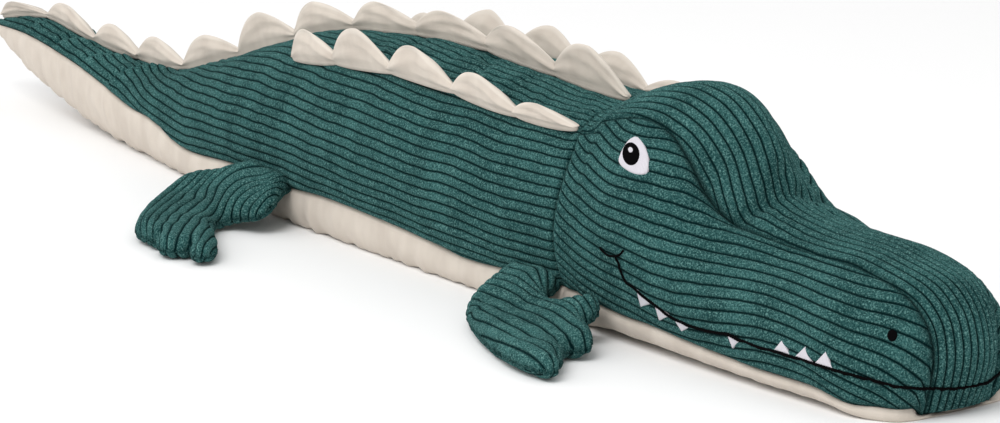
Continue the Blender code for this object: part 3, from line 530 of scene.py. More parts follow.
def buildFlank(side, name):
    steps = evenSteps(0.0, cut["neckRow"], cord["rowSpacing"], 5)
    controls = controlsAt(steps)
    back, flank = backCurve(controls, 40), sideCurve(controls, 90)
    ring = np.concatenate([back, flank[:, 1:]], axis=1)[:, ::-1]
    shift = np.zeros(len(steps))  # the wales lie as in the cut, whatever the sewn edge does
    for track, place, reach, rise in eases:
        shift -= rise * hump(controls[:, 2, 0], alongToy(place), reach) * (track == 2)
    cloth = layWales(ring, shift, cord["wander"], 21 if side > 0 else 31, flanks["evening"])
    cloth["normals"] = shareSeam(cloth["normals"], seamWays(steps, 2), cloth["reach"])
    cloth = mirrored(cloth, side)
    backWidth = lengths(np.diff(back, axis=1))[:, -1:]
    x, fromSpine = cloth["points"][..., 0], cloth["width"] - cloth["reach"]
    toNeck = alongToy(2.0) - x
    edge = np.minimum(cloth["reach"], fromSpine)
    margin = flanks["rowMargin"]
    start, end = alongToy(flanks["sideRow"])
    inRow = between(x, start - margin, end + margin, margin * 2, margin * 2)
    lift = ribLift(cloth, edge, toNeck) - flanks["rowDip"] * inRow * hump(fromSpine, backWidth, flanks["rowReach"])
    lift += flankFolds(cloth, x, backWidth) * smoothStep(edge / flanks["foldEdge"])
    lift *= smoothStep((x - x.min()) / flanks["tipRun"])
    return sewCover(name, cloth, lift, edge, toNeck, (True, True, True, True))


flankRight = buildFlank(-1, "flankRight")
flankLeft = buildFlank(1, "flankLeft")
print("flanks made:", len(flankRight.data.vertices), "points each")

# head covers: two cheeks and a crown strip that runs from the neck over the brow and down the nose
head = {
    "evening": 5, "cheekWander": 0.6, "crownWander": 0.5,
    "cheekSlant": 0.0117, "slantReach": 0.022,
    "browFall": 0.0027, "browFallStart": 0.048, "browFallRun": 0.030,
    "stopRise": 0.0085, "stopRiseStart": 0.078, "stopRiseRun": 0.075,
    "noseSlant": 0.029, "noseSlantReach": 0.090,
    # stuffing beside the brow seam
    "browPad": 0.0034, "padSpan": (2.25, 2.60), "padRamps": (0.018, 0.03), "padPlace": 0.0078,
    "browReach": 0.0060, "crownPad": 0.7,
    # the crown: finer rows, its chin edge, and cloth gathered in from a row on (share, row, rows it takes)
    "crownRows": 0.9, "crownSamples": 70, "chinCurl": 0.005, "gathers": ((0.28, 20, 3), (0.06, 17, 2)),
    "stopPlace": 2.438, "stopCrease": 0.0030, "stopWander": 0.0012,
    "stopFold": {"crease": 0.0034, "swell": 0.35, "swellPlace": -0.009, "swellReach": 0.0075},
    "crinkle": {"height": 0.0006, "pitch": 0.0095, "uneven": 1.5, "lean": -529},
    "crinkleStart": 0.004, "crinkleFall": 0.020, "crinkleRamp": 0.008,
    "neckFall": 0.014, "neckGather": {"height": 0.00064, "pitch": 0.0085, "uneven": 2.0, "lean": 0},
}


def browPad(x, toSeam):
    # stuffing that swells both covers beside the brow seam
    along = between(x, *alongToy(head["padSpan"]), *head["padRamps"])
    return head["browPad"] * along * hump(toSeam, head["padPlace"], head["browReach"])


def buildCheek(side, name):
    steps = evenSteps(cut["neckRow"], len(cut["rows"]) - 1.02, cord["rowSpacing"], 2)  # just short of the chin
    ring = sideCurve(controlsAt(steps), 110)[:, ::-1]
    run = lengths(np.diff(ring[:, 40], axis=0))
    shift = head["cheekSlant"] * np.exp(-run / head["slantReach"])
    shift -= head["browFall"] * smoothStep((run - head["browFallStart"]) / head["browFallRun"])
    shift += head["stopRise"] * smoothStep((run - head["stopRiseStart"]) / head["stopRiseRun"])
    shift -= head["noseSlant"] * np.clip(1 - (run[-1] - run) / head["noseSlantReach"], 0, 1) ** 2
    wander = cord["wander"] * head["cheekWander"]
    cloth = layWales(ring, shift, wander, 41 if side > 0 else 51, head["evening"])
    toBrow, toNeck = cloth["width"] - cloth["reach"], cloth["run"]
    cloth["normals"] = shareSeam(cloth["normals"], seamWays(steps, 4), toBrow)
    cloth["normals"] = shareSeam(cloth["normals"], seamWays(steps, 2), cloth["reach"])
    cloth = mirrored(cloth, side)
    edge = np.minimum(cloth["reach"], toBrow)
    lift = ribLift(cloth, edge, toNeck) + browPad(cloth["points"][..., 0], toBrow)
    return sewCover(name, cloth, lift, edge, toNeck, (True, True, True, False))


def buildCrown(name):
    spacing = cord["rowSpacing"] * head["crownRows"]
    steps = evenSteps(cut["neckRow"], len(cut["rows"]) - 1, spacing, 5)
    controls = controlsAt(steps)
    half = backCurve(controls, head["crownSamples"])
    # at its end the panel closes onto the jaw's front edge
    front = bellyCurve(controls[-1:], 40)[0]
    length = lengths(np.diff(front, axis=0))
    front = placesOn(front, length, np.linspace(0, length[-1], head["crownSamples"]))
    closing = np.linspace(1 - len(half), 0, len(half)) * spacing
    half = half + np.exp(closing / head["chinCurl"])[:, None, None] * (front - half[-1])[None]
    gather = 1 + sum(share * smoothStep((steps - row) / rows) for share, row, rows in head["gathers"])
    wander, sheets = cord["wander"] * head["crownWander"], []
    for side in (-1, 1):
        cloth = layWales(half, np.zeros(len(steps)), wander, 61 + side, gather=gather[:, None])
        cloth["normals"] = shareSeam(cloth["normals"], seamWays(steps, 4), cloth["width"] - cloth["reach"])
        sheets.append(mirrored(cloth, side))
    # both halves in one grid, joined at the spine
    start = [int(np.argmax(~sheet["low"].all(axis=0))) - 1 for sheet in sheets]
    right, left = sheets
    both = {
        key: np.concatenate([right[key][:, :start[0]:-1], left[key][:, start[1] + 1:]], axis=1) for key in right
    }
    flip = right["wale"].shape[1] - start[0] - 1
    sideOf = np.concatenate([-np.ones(flip), np.ones(both["wale"].shape[1] - flip)])[None]
    points, reach, toNeck = both["points"], both["reach"], both["run"]
    toChin, toBrow = toNeck.max() - toNeck, both["width"] - reach
    edge = np.minimum(toBrow, toChin)
    both["normals"] = shareSeam(both["normals"], np.broadcast_to(chinWay, (len(half), 3)), toChin)
    lift = ribLift(both, edge, toNeck) + browPad(points[..., 0], toBrow) * head["crownPad"]
    # the stop: one sharp crease across the crown, the brow swollen behind it and small crinkles before it
    noise = softNoise(points, 0.02, 9)
    off = points[..., 0] - alongToy(head["stopPlace"]) + noise * head["stopWander"]
    lift += head["stopCrease"] * foldShape(head["stopFold"], off)
    ahead = smoothStep(off / head["crinkleStart"]) * np.exp(-np.maximum(off, 0) / head["crinkleFall"])
    ahead *= smoothStep((reach - head["crinkleStart"]) / head["crinkleRamp"])
    lift += ahead * pucker(head["crinkle"], toNeck, reach, noise)
    gathered = pucker(head["neckGather"], toNeck, reach, softNoise(points, 0.03, 11))
    lift += np.exp(-toNeck / head["neckFall"]) * gathered
    points = points + both["normals"] * lift[..., None]
    merged = (both["high"] & (sideOf < 0), both["high"] & (sideOf > 0))
    values = {"wale": both["wale"] * sideOf, "seamShadeMask": seamShade(edge, toNeck)}
    return makeSheet(name, points, both["normals"], values, merged, (True, True, True, True))


cheekRight = buildCheek(-1, "cheekRight")
cheekLeft = buildCheek(1, "cheekLeft")
crown = buildCrown("crown")
print("head covers made:", len(crown.data.vertices), "points in the crown")

# cotton undersides
cotton = {
    "rowSpacing": 0.004, "columns": 22, "wrinkle": 0.0009, "jawWrinkle": 0.3,
    "ripple": 0.6, "ripplePitch": 0.0125, "rippleFade": 0.010, "crease": 0.5, "creaseSize": 0.014,
    "swell": 0.0010, "swellRise": 0.012, "swellFall": 0.03, "tuck": 0.0045, "tuckReach": 0.006,
}


def buildUnderside(low, high, name, wrinkle):
    steps = evenSteps(low, high, cotton["rowSpacing"], 2)
    half = bellyCurve(controlsAt(steps), cotton["columns"])
    width = lengths(np.diff(half, axis=1))
    edge = width[:, -1:] - width
    normal = shareSeam(surfaceFrame(half)[1], seamWays(steps, 2), edge)
    run = np.broadcast_to(lengths(np.diff(half[:, -1], axis=0))[:, None], edge.shape)
    half[..., 0] -= cotton["tuck"] * np.exp(-(run[-1:] - run) / cotton["tuckReach"]) * (high > cut["neckRow"])
    sides = []
    for side in (-1, 1):
        points, normals = half * (1.0, side, 1.0), normal * (1.0, side, 1.0)
        jitter = softNoise(points, 0.035, 71) * 1.6
        ripple = np.sin(run * 2 * math.pi / cotton["ripplePitch"] + jitter) * smoothStep(edge / cotton["rippleFade"])
        creases = softNoise(points * (1.0, 0.4, 0.4), cotton["creaseSize"], 72)
        lift = wrinkle * (ripple * cotton["ripple"] + creases * cotton["crease"]) - seamShape(edge)
        lift += cotton["swell"] * smoothStep(edge / cotton["swellRise"]) * np.exp(-edge / cotton["swellFall"])
        sides.append((points + normals * lift[..., None], normals))
    points, normals = (np.concatenate([right[:, :0:-1], left], axis=1) for right, left in zip(*sides))
    points[..., 2] = np.maximum(points[..., 2], 0.0)
    across = np.concatenate([-width[:, :0:-1], width], axis=1)
    values = {"across": across, "walk": np.broadcast_to(run[:, :1], across.shape)}
    none = np.zeros(across.shape, bool)
    return makeSheet(name, points, normals, values, (none, none), (True, True, True, True))


belly = buildUnderside(0.0, cut["neckRow"], "belly", cotton["wrinkle"])
jaw = buildUnderside(cut["neckRow"], len(cut["rows"]) - 1, "jaw", cotton["wrinkle"] * cotton["jawWrinkle"])
print("undersides made")
# scutes: padded cotton points, each on its own stretch of a back seam
scutes = {
    "height": 0.020, "thickness": 0.0092, "endThickness": 0.0030, "foldRise": 0.0022,
    "root": 0.0034, "columns": 56, "round": 44, "overlap": 0.0010, "sideways": 0.0007,
    "waist": 0.5, "waistHeight": 0.30, "backSwell": 2.2, "frontSwell": 1.45,
    "fullPower": 0.55, "thinning": 0.38, "thinPower": 1.6, "bendPower": 2.2, "endBend": 0.35,
    "hem": 0.0003, "hemTop": 0.80, "hemDrop": 0.30, "hemReach": 0.10, "gather": 0.00035, "gatherReach": 0.08,
    "fold": 0.0008, "foldTop": 0.66, "foldDrop": 0.46, "foldSway": 0.05,
    "foldShape": {"crease": 0.075, "swell": 0.8, "swellPlace": 0.20, "swellReach": 0.15},
    "dents": ((0.016, 0.00018, 0.37, 81), (0.030, 0.00055, 0.61, 83)),  # size, depth, shift for each scute, seed
    "spineRow": (0.03, 0.182, 0.355, 0.496, 0.654, 0.824, 1.0, 1.181, 1.378, 1.572, 1.766, 1.947),
    "spineHeights": (0.50, 0.75, 0.80, 0.84, 0.88, 1.03, 0.91, 0.80, 0.78, 0.94, 1.17),
    "spineTips": (0.44, 0.52, 0.48, 0.44, 0.48, 0.52, 0.41, 0.40, 0.42, 0.43, 0.54),
    "spineJoins": (0.0030, 0.0022, 0.0024, 0.0030, 0.0030, 0.0042, 0.0046, 0.0050, 0.0064, 0.0074, 0.0068, 0.0030),
    "spineFlops": (0.9, 0.25, 0.12, 0.10, 0.16, 0.22, 0.18, 0.14, 0.20, 0.22, 0.25),
    "sideRow": (1.161, 1.296, 1.48, 1.658, 1.836, 1.985),
    "sideHeights": (0.93, 1.12, 0.98, 0.86, 0.56),
    "sideTips": (0.44, 0.55, 0.47, 0.48, 0.45),
    "sideJoins": (0.0040, 0.0062, 0.0048, 0.0040, 0.0046, 0.0024),
    "sideFlops": (0.08, 0.10, 0.12, 0.16, 0.24),
    "sideLean": 0.16,
}


def seamLine(track):
    fine = np.linspace(0.0, cut["neckRow"] + 2.0, 1600)
    return controlsAt(fine)[:, track]


def pointedOutline(u, tip, ends):
    # height along a scute as a share of its full height: it swells up to a round point and falls away to its two
    # ends, which stand as high as their neighbours'
    back, front = np.clip((tip - u) / tip, 0, 1), np.clip((u - tip) / (1 - tip), 0, 1)
    return 1 - back ** scutes["backSwell"] * (1 - ends[0]) - front ** scutes["frontSwell"] * (1 - ends[1])


def buildScute(name, line, ends, height, tip, joins, flop, side, lean, seed):
    first, last = (placesOn(line, line[:, 0], alongToy(end)) for end in ends)
    u = np.linspace(0.0, 1.0, scutes["columns"])
    x = first[0] + (last[0] - first[0]) * u + scutes["overlap"] * (2 * u - 1)
    base = placesOn(line, line[:, 0], x) * (1.0, side if side else 1.0, 1.0)
    chord = unit(last - first)
    up = unit(np.array([-chord[2], side * lean, chord[0]]))
    outward = unit(np.cross(chord * (1.0, side if side else 1.0, 1.0), up))
    outward = outward * (-1.0 if outward[1] > 0 else 1.0)
    base += up * scutes["foldRise"]
    tall = height * pointedOutline(u, tip, (joins[0] / height, joins[1] / height)) - scutes["foldRise"]
    full = np.clip(4 * u * (1 - u), 0, 1) ** scutes["fullPower"]
    thick = scutes["endThickness"] + (scutes["thickness"] - scutes["endThickness"]) * full
    # each column is one loop round the scute: up one face, over its edge and down the other
    turn = np.linspace(-math.pi / 2, math.pi * 1.5, scutes["round"], endpoint=False)[None]
    rise = np.maximum(np.sin(turn), 0.0)
    root = scutes["root"] * (0.5 + 0.5 * full)
    lift = np.sin(turn) * np.where(np.sin(turn) > 0, tall[:, None], root[:, None])
    waist = scutes["waist"] + (1 - scutes["waist"]) * smoothStep(rise / scutes["waistHeight"])
    thinner = 1 - scutes["thinning"] * rise ** scutes["thinPower"]
    bend = flop * tall * (scutes["endBend"] + (1 - scutes["endBend"]) * full)
    swing = scutes["sideways"] * (1 if seed % 2 else -1) * (1 - 2 * u)
    offset = thick[:, None] / 2 * np.cos(turn) * thinner * waist
    offset = offset + bend[:, None] * rise ** scutes["bendPower"] + swing[:, None]
    grid = base[:, None] + up * lift[..., None] + outward * offset[..., None]
    # a soft fold slants down from one end, a hint of the hem follows the edge, and small creases gather at the ends
    reach, along = np.broadcast_arrays(rise, u[:, None])
    inBody = between(reach, 0.0, 1.02, 0.25, 0.12)
    slope = np.where(along > tip, (along - tip) / (1 - tip), (tip - along) / tip)
    hem = hump(reach, scutes["hemTop"] - scutes["hemDrop"] * slope, scutes["hemReach"])
    push = -scutes["hem"] * hem * smoothStep((1 - slope) * 4)
    way = along if seed % 3 else 1 - along
    slant = reach - (scutes["foldTop"] - scutes["foldDrop"] * way + scutes["foldSway"] * math.sin(seed * 2.3))
    push += scutes["fold"] * foldShape(scutes["foldShape"], slant) * between(way, 0.10, 1.02, 0.25, 0.2) * inBody
    gather = np.exp(-np.minimum(along, 1 - along) / scutes["gatherReach"])
    push += scutes["gather"] * gather * np.sin(reach * 10 + seed) * inBody
    for size, deep, shift, draw in scutes["dents"]:
        push += softNoise(grid + seed * shift, size, draw) * deep * inBody
    grid = grid + outward * (push * np.sign(np.cos(turn)))[..., None]
    count, around = reach.shape
    places = [tuple(point) for point in grid.reshape(-1, 3)]
    faces = []
    for a in range(0, (count - 1) * around, around):
        for step in range(around):
            after = (step + 1) % around
            faces.append((a + step, a + after, a + around + after, a + around + step))
    for row, order in ((0, -1), (count - 1, 1)):
        places.append(tuple(grid[row].mean(axis=0)))
        for step in range(around):
            ends = (row * around + step, row * around + (step + 1) % around)
            faces.append((*ends[::order], len(places) - 1))
    mesh = bpy.data.meshes.new(name)
    mesh.from_pydata(places, [], faces)
    # numbers kept for the cotton finish: the weave's two ways, and the top edge, where a highlight is painted
    values = {
        "across": np.sin(turn) * tall[:, None], "walk": np.broadcast_to(x[:, None], reach.shape),
        "topEdgeHighlight": (reach > 0.9) * 1.0,
    }
    keepNumbers(mesh, {key: np.append(numbers.ravel(), (0, 0)) for key, numbers in values.items()})
    return linked(name, mesh)
def linked(name, mesh):
    # closes a mesh into an object whose faces look outwards
    shell = bmesh.new()
    shell.from_mesh(mesh)
    bmesh.ops.recalc_face_normals(shell, faces=shell.faces)
    if shell.calc_volume(signed=True) < 0:
        bmesh.ops.reverse_faces(shell, faces=shell.faces)
    shell.to_mesh(mesh)
    shell.free()
    mesh.shade_smooth()
    return addObject(name, mesh)


scutePieces = []
spineSeam, sideSeam = seamLine(5), seamLine(4)
for number, height in enumerate(scutes["spineHeights"]):
    name = "spine_scute_%02d" % (number + 1)
    piece = buildScute(
        "spineScute%02d" % (number + 1), spineSeam, scutes["spineRow"][number:number + 2],
        height * scutes["height"], scutes["spineTips"][number], scutes["spineJoins"][number:number + 2],
        scutes["spineFlops"][number], 0, 0.0, number + 1,
    )
    scutePieces.append((piece, name))
for side, word in ((-1, "right"), (1, "left")):
    for number, height in enumerate(scutes["sideHeights"]):
        name = "%s_scute_%d" % (word, number + 1)
        flop = scutes["sideFlops"][number] * (1.0 if side < 0 else -0.6)
        piece = buildScute(
            word + "Scute%d" % (number + 1), sideSeam, scutes["sideRow"][number:number + 2],
            height * scutes["height"], scutes["sideTips"][number], scutes["sideJoins"][number:number + 2],
            flop, side, scutes["sideLean"], number + 20 + side,
        )
        scutePieces.append((piece, name))
print("scutes made:", len(scutePieces))

# paws: flat cord pads cut like a webbed foot and sewn into the belly seam by their short edge.
# Outlines and wale guides are in millimetres along the toy and out from its middle
frontPaw = {
    "seam": 17.0,
    "outline": (
        (165, 49), (166.5, 57), (167.5, 65), (169, 72), (171, 79), (175.5, 86.5), (184, 93.3), (196.5, 100.2),
        (209.5, 106.1), (223.4, 111.9), (237.4, 116.4), (250.3, 119.8), (262.5, 121.5), (273, 122), (280, 121),
        (283.5, 117), (281, 112.5), (277.5, 110), (272.7, 104.5), (266, 98.8), (260.5, 94.5), (260.5, 90),
        (263.5, 85.5), (264, 81), (259.5, 77), (252, 73.5), (244.5, 70.5), (244, 67), (245, 63.5), (243.5, 60),
        (239.5, 57.5), (234.3, 58.5), (229.3, 61.8), (224.3, 65.2), (217.4, 66.8), (210.7, 65.3), (204, 61.2),
        (201, 55), (199.5, 49),
    ),
    "guides": (
        (1, ((228, 114.5), (242, 117), (255, 119), (268, 120.5))),
        (2, ((190, 96), (213, 105), (233, 110), (253, 113), (273, 115))),
        (3, ((180, 90), (197, 96), (209, 98), (221, 100), (235, 102), (248, 104), (259, 106), (267, 106))),
        (4, ((180, 86), (189, 88), (200, 88), (211, 90), (223, 91), (233, 92), (244, 93), (255, 95), (260, 96))),
        (5, ((179, 81), (184, 80), (202, 81), (212, 82), (225, 83), (233, 84), (243, 86), (252, 89), (258, 90))),
        (6, (
            (176, 75), (182, 74), (191, 74), (201, 75), (211, 77), (220, 77), (228, 78), (237, 79), (247, 81),
            (258, 82),
        )),
        (7, ((178, 71), (184, 70), (193, 70), (202, 71), (211, 72), (216, 72), (226, 73), (234, 73), (242, 74))),
        (8, ((181, 66), (190, 66), (199, 67), (208, 69), (230, 70), (240, 71))),
        (9, ((186, 61), (194, 63), (200, 65), (205, 66), (225, 66), (232, 67), (238, 68))),
        (10, ((190, 56), (197, 60), (202, 62), (232, 62), (239, 65), (243, 65))),
    ),
}
rearPaw = {
    "seam": 21.0,
    "outline": (
        (-72, 49), (-78, 56), (-85.1, 61.5), (-93.6, 65), (-100.7, 68.4), (-104.8, 73.7), (-106, 80.8),
        (-101.9, 89.6), (-93, 99), (-82.6, 110.2), (-70.6, 121.1), (-58, 130.8), (-49, 135), (-40.1, 135.5),
        (-33, 136.5), (-29, 134), (-25, 138), (-18.5, 141.5), (-11, 141), (-7, 136), (-4, 131.5), (1, 134.5),
        (7, 136.5), (11, 133.5), (11, 127.5), (5.5, 121.5), (-2.2, 116.5), (-14.9, 109.5), (-27.5, 102.3),
        (-37.9, 95.5), (-45, 89), (-44, 82.5), (-37.2, 78.5), (-30.4, 76.5), (-26.5, 73.5), (-24.8, 69.5),
        (-26.5, 63.5), (-30.5, 57.5), (-35, 49),
    ),
    "guides": (
        (1, ((-97, 73), (-97, 81), (-85, 96), (-68, 115), (-58, 125), (-50, 133))),
        (2, ((-91, 73), (-89, 84), (-76, 100), (-61, 117), (-48, 129), (-42, 135))),
        (3, ((-86, 73), (-85, 78), (-83, 86), (-68, 103), (-50, 121), (-39, 132), (-34, 136))),
        (4, ((-82, 72), (-81, 77), (-73, 85), (-65, 94), (-52, 110), (-36, 126), (-26, 136))),
        (5, ((-76, 67), (-77, 73), (-72, 78), (-67, 82), (-62, 90), (-53, 102), (-43, 113), (-27, 128), (-15, 139))),
        (6, (
            (-69, 67), (-70, 72), (-67, 76), (-61, 81), (-56, 85), (-49, 93), (-41, 104), (-29, 117), (-17, 128),
            (-10, 135),
        )),
        (7, (
            (-47, 61), (-54, 63), (-59, 67), (-60, 72), (-58, 77), (-52, 83), (-46, 90), (-39, 98), (-24, 113),
            (-12, 125), (-5, 131),
        )),
        (8, (
            (-38, 62), (-47, 65), (-52, 69), (-51, 74), (-49, 79), (-46, 84), (-34, 96), (-21, 108), (-7, 121),
            (1, 129),
        )),
        (9, ((-35, 62), (-41, 65), (-44, 70), (-44, 75), (-44, 80), (-27, 101), (-2, 119), (6, 127))),
        (10, ((-33, 59), (-33, 64), (-36, 69), (-38, 74), (-39, 79))),
        (11, ((-30, 64), (-30, 68), (-31, 73), (-34, 77))),
        (12, ((-27, 67), (-27, 71), (-28, 75))),
    ),
}
pad = {
    "top": 8.3, "sole": 4.0, "restHeight": 5.0, "roundness": 6.5, "reach": 51.0, "drop": 38.0,
    "edgeSpacing": 0.8, "topSpacing": 0.75, "soleSpacing": 1.7, "rib": 1.7, "ribMiddle": 0.55, "turnDown": 0.57,
    "wave": 0.5, "waveSize": 0.030, "shade": 0.7, "shadeReach": 0.7, "floorGap": 0.2,
}


def roundedLine(points, spacing):
    points = np.array(points, float)
    before, after = points[0] * 2 - points[1], points[-1] * 2 - points[-2]
    run = np.vstack([before, points, after])
    curve = []
    for number in range(len(points) - 1):
        t = np.linspace(0, 1, 16, endpoint=False)[:, None]
        p0, p1, p2, p3 = run[number:number + 4]
        square, cube = p0 * 2 - p1 * 5 + p2 * 4 - p3, p1 * 3 - p0 - p2 * 3 + p3
        curve.append((p1 * 2 + (p2 - p0) * t + square * t ** 2 + cube * t ** 3) / 2)
    curve = np.vstack([*curve, points[-1:]])
    length = lengths(np.diff(curve, axis=0))
    return placesOn(curve, length, np.linspace(0, length[-1], int(length[-1] / spacing) + 1))


def nearestEdge(points, outline):
    # distance to a closed outline and the way towards it
    best, way = np.full(len(points), 1e9), np.zeros_like(points)
    for start, end in zip(outline, np.roll(outline, -1, axis=0)):
        edge = end - start
        part = np.clip(((points - start) @ edge) / max(edge @ edge, 1e-9), 0, 1)
        gap = start + part[:, None] * edge - points
        far = np.linalg.norm(gap, axis=1)
        closer = far < best
        best = np.where(closer, far, best)
        way = np.where(closer[:, None], gap / np.maximum(far, 1e-6)[:, None], way)
    return best, way


def insideOutline(points, outline):
    x, y = points.T
    found = np.zeros(len(points), bool)
    for (x1, y1), (x2, y2) in zip(outline, np.roll(outline, -1, axis=0)):
        found ^= ((y1 > y) != (y2 > y)) & (x < (x2 - x1) * (y - y1) / (y2 - y1 + 1e-12) + x1)
    return found


def waleField(guides):
    # a smooth field through the wale guides, so that ribs can bend round the paw
    places = np.array([place for _, line in guides for place in line], float)
    numbers = np.array([number for number, line in guides for _ in line], float)

    def kernel(a, b):
        gap = np.sum((a[:, None] - b[None]) ** 2, axis=2)
        return gap * np.log(gap + 1e-9) * 0.5

    count = len(places)
    flat = np.hstack([np.ones((count, 1)), places])
    system = np.zeros((count + 3, count + 3))
    system[:count, :count] = kernel(places, places) + np.eye(count) * 25.0
    system[:count, count:] = flat
    system[count:, :count] = flat.T
    weights = np.linalg.solve(system, np.append(numbers, (0, 0, 0)))

    def number(points):
        slope = np.hstack([np.ones((len(points), 1)), points]) @ weights[count:]
        return kernel(points, places) @ weights[:count] + slope

    return number


def fillOutline(outline, spacing):
    # triangles that fill a closed outline evenly: their points, with distance and way to the rim, and the cells
    loop = [(number, (number + 1) % len(outline)) for number in range(len(outline))]
    low, high = outline.min(axis=0), outline.max(axis=0)
    columns = np.arange(low[0], high[0], spacing)
    lines = np.arange(low[1], high[1], spacing * 0.866)
    stagger = spacing / 2
    grid = np.array([(x + (number % 2) * stagger, y) for number, y in enumerate(lines) for x in columns])
    grid = grid[insideOutline(grid, outline)]
    far, _ = nearestEdge(grid, outline)
    grid = grid[far > spacing * 0.55]
    seeds = [Vector(p) for p in outline] + [Vector(p) for p in grid]
    flat, _, cells, origin, _, _ = delaunay_2d_cdt(seeds, loop, [], 1, 1e-6)
    plan = np.array([tuple(p) for p in flat])
    far, way = nearestEdge(plan, outline)
    rim = [min(o) if o and min(o) < len(outline) else None for o in origin]
    far = np.where([r is not None for r in rim], 0.0, far)
    return plan, far, way, rim, cells


def buildPaw(name, shape, side):
    outline = roundedLine(shape["outline"], pad["edgeSpacing"])
    field = waleField(shape["guides"])
    layers, faces, kept = [], [], {"wale": [], "seamShadeMask": []}
    for upper in (True, False):
        plan, far, way, rim, cells = fillOutline(outline, pad["topSpacing"] if upper else pad["soleSpacing"])
        angle = np.clip(far / pad["roundness"], 0, 1) * math.pi / 2
        rolled = np.where(far < pad["roundness"], pad["roundness"] * (1 - np.cos(angle)), far)
        moved = plan + way * (far - rolled)[:, None]
        slide = smoothStep((moved[:, 1] - pad["reach"]) / pad["drop"])
        middle = shape["seam"] + (pad["restHeight"] - shape["seam"]) * slide
        bulge = pad["top"] if upper else -pad["sole"]
        wale = field(plan + way * (np.maximum(pad["roundness"] - far, 0) * pad["turnDown"])[:, None])
        rise = middle + bulge * np.sin(angle)
        out = np.hstack([way * np.cos(angle)[:, None], np.sin(angle)[:, None] * (1 if upper else -1)])
        spot = np.hstack([moved, rise[:, None]])
        rib = (ribProfile(wale) - pad["ribMiddle"]) * pad["rib"]
        wave = softNoise(spot / 1000 + 0.3, pad["waveSize"], 91) * pad["wave"] * np.sin(angle)
        spot = spot + out * (rib + wave)[:, None]
        index = []
        for number, place in enumerate(spot):
            if not upper and rim[number] is not None:
                index.append(rim[number])
                continue
            index.append(len(layers))
            layers.append(place)
            kept["wale"].append(wale[number])
            # painted shade round the paw's rim, where it rolls under
            kept["seamShadeMask"].append(math.exp(-far[number] / pad["shadeReach"]) * pad["shade"])
        for cell in cells:
            faces.append([index[c] for c in (cell if upper else cell[::-1])])
    places = np.array(layers)
    places[:, 2] = np.maximum(places[:, 2], pad["floorGap"])
    mesh = bpy.data.meshes.new(name)
    mesh.from_pydata([(x, y * side, z) for x, y, z in places / 1000], [], faces)
    keepNumbers(mesh, kept)
    return linked(name, mesh)


pawPieces = []
for side, word in ((-1, "Right"), (1, "Left")):
    for shape, first in ((frontPaw, "front"), (rearPaw, "rear")):
        pawPieces.append((buildPaw(first + "Paw" + word, shape, side), "%s_paw_%s" % (first, word.lower())))
print("paws made:", len(pawPieces[0][0].data.vertices), "points in the first")


# stitched face: raised satin eyes and teeth and a corded mouth. Places are in millimetres along the toy and up it,
# for the -Y side. The mouth goes on round the nose in places out from the middle and up
face = {
    "eye": (
        (243.5, 97), (241.5, 95.5), (240.5, 93.5), (240, 91), (240, 88.5), (240.5, 86), (243, 84.2), (247.5, 82.8),
        (252, 81.9), (256, 81.9), (258.6, 82.8), (258.2, 85.4), (256.6, 88.2), (254.4, 91), (251.4, 93.5),
        (248.6, 95.4), (245.5, 96.8),
    ),
    "pupil": ((246.4, 89.5), (4.8, 0.6), (-3.1, 4.7)),  # middle, reach along, reach up
    "glint": ((245.7, 91.0), (1.5, 0.15), (-0.8, 1.25)),
    "nostril": ((417.0, 38.5), (1.9, 0.1), (-1.0, 2.4)),
    "curl": ((243.7, 47), (245.8, 45.7), (248.6, 44.7), (251.8, 44.4), (255.3, 45), (258.4, 46.5), (260.6, 48.9)),
    "mouth": (
        (255.3, 44.6), (256.6, 43.4), (258.2, 41.8), (258.6, 40.2), (260, 38.3), (261.2, 36.2), (263.6, 34),
        (266.2, 33.4), (269.8, 32.2),
        (275.2, 29.9), (281.3, 28), (287.3, 25.9), (294.1, 24.2), (301.4, 23.3), (308.6, 22.8),
        (316.2, 22.8), (324.6, 23.2), (333.5, 24.3), (340.3, 23.4), (352.2, 22.4), (366.9, 22.7), (380, 22.4),
        (389, 22.2), (398, 21.6), (406, 20.6), (413.2, 19.3), (419.5, 18.3),
    ),
    "noseMouth": ((35, 17.3), (29.5, 16.4), (23, 15.5), (15, 14.7), (8, 14.2)),
    "teethDown": (
        ((269.8, 32), (280.4, 27.4), (271.5, 23.6)), ((282.4, 27), (293.5, 24.2), (284, 19.9)),
        ((294.9, 24), (308, 22.5), (300, 18.2)),
    ),
    "toothMiddle": (((332.1, 24), (341.2, 23), (334.9, 17.6)),),
    "teethUp": (
        ((361.9, 23), (372.8, 22.8), (366.4, 28.6)), ((375.1, 22.8), (386.2, 22.4), (380.6, 28.4)),
        ((387.5, 22.4), (398.2, 21.8), (392.8, 28.9)),
    ),
    "lineSize": 0.70, "thinSize": 0.55, "lineRise": 0.95, "ply": 1.5, "plyDepth": 0.16,
    "raise": 0.9, "edge": 1.1, "under": 0.5, "fine": 0.26, "thread": 0.62, "threadDepth": 0.07,
    "threadSway": 0.35, "swaySize": 9.0, "hollow": 0.05, "lineUneven": 0.10, "lineSway": 0.12, "lineFlat": 0.8,
    # for each patch its height above the cloth and the slant of its stitches in degrees
    "patches": {
        "eyeWhite": (0.25, 20.0), "pupil": (0.75, 20.0), "glint": (1.15, 20.0), "nostril": (0.15, 30.0),
        "teeth": (0.10, 5.0),
    },
}


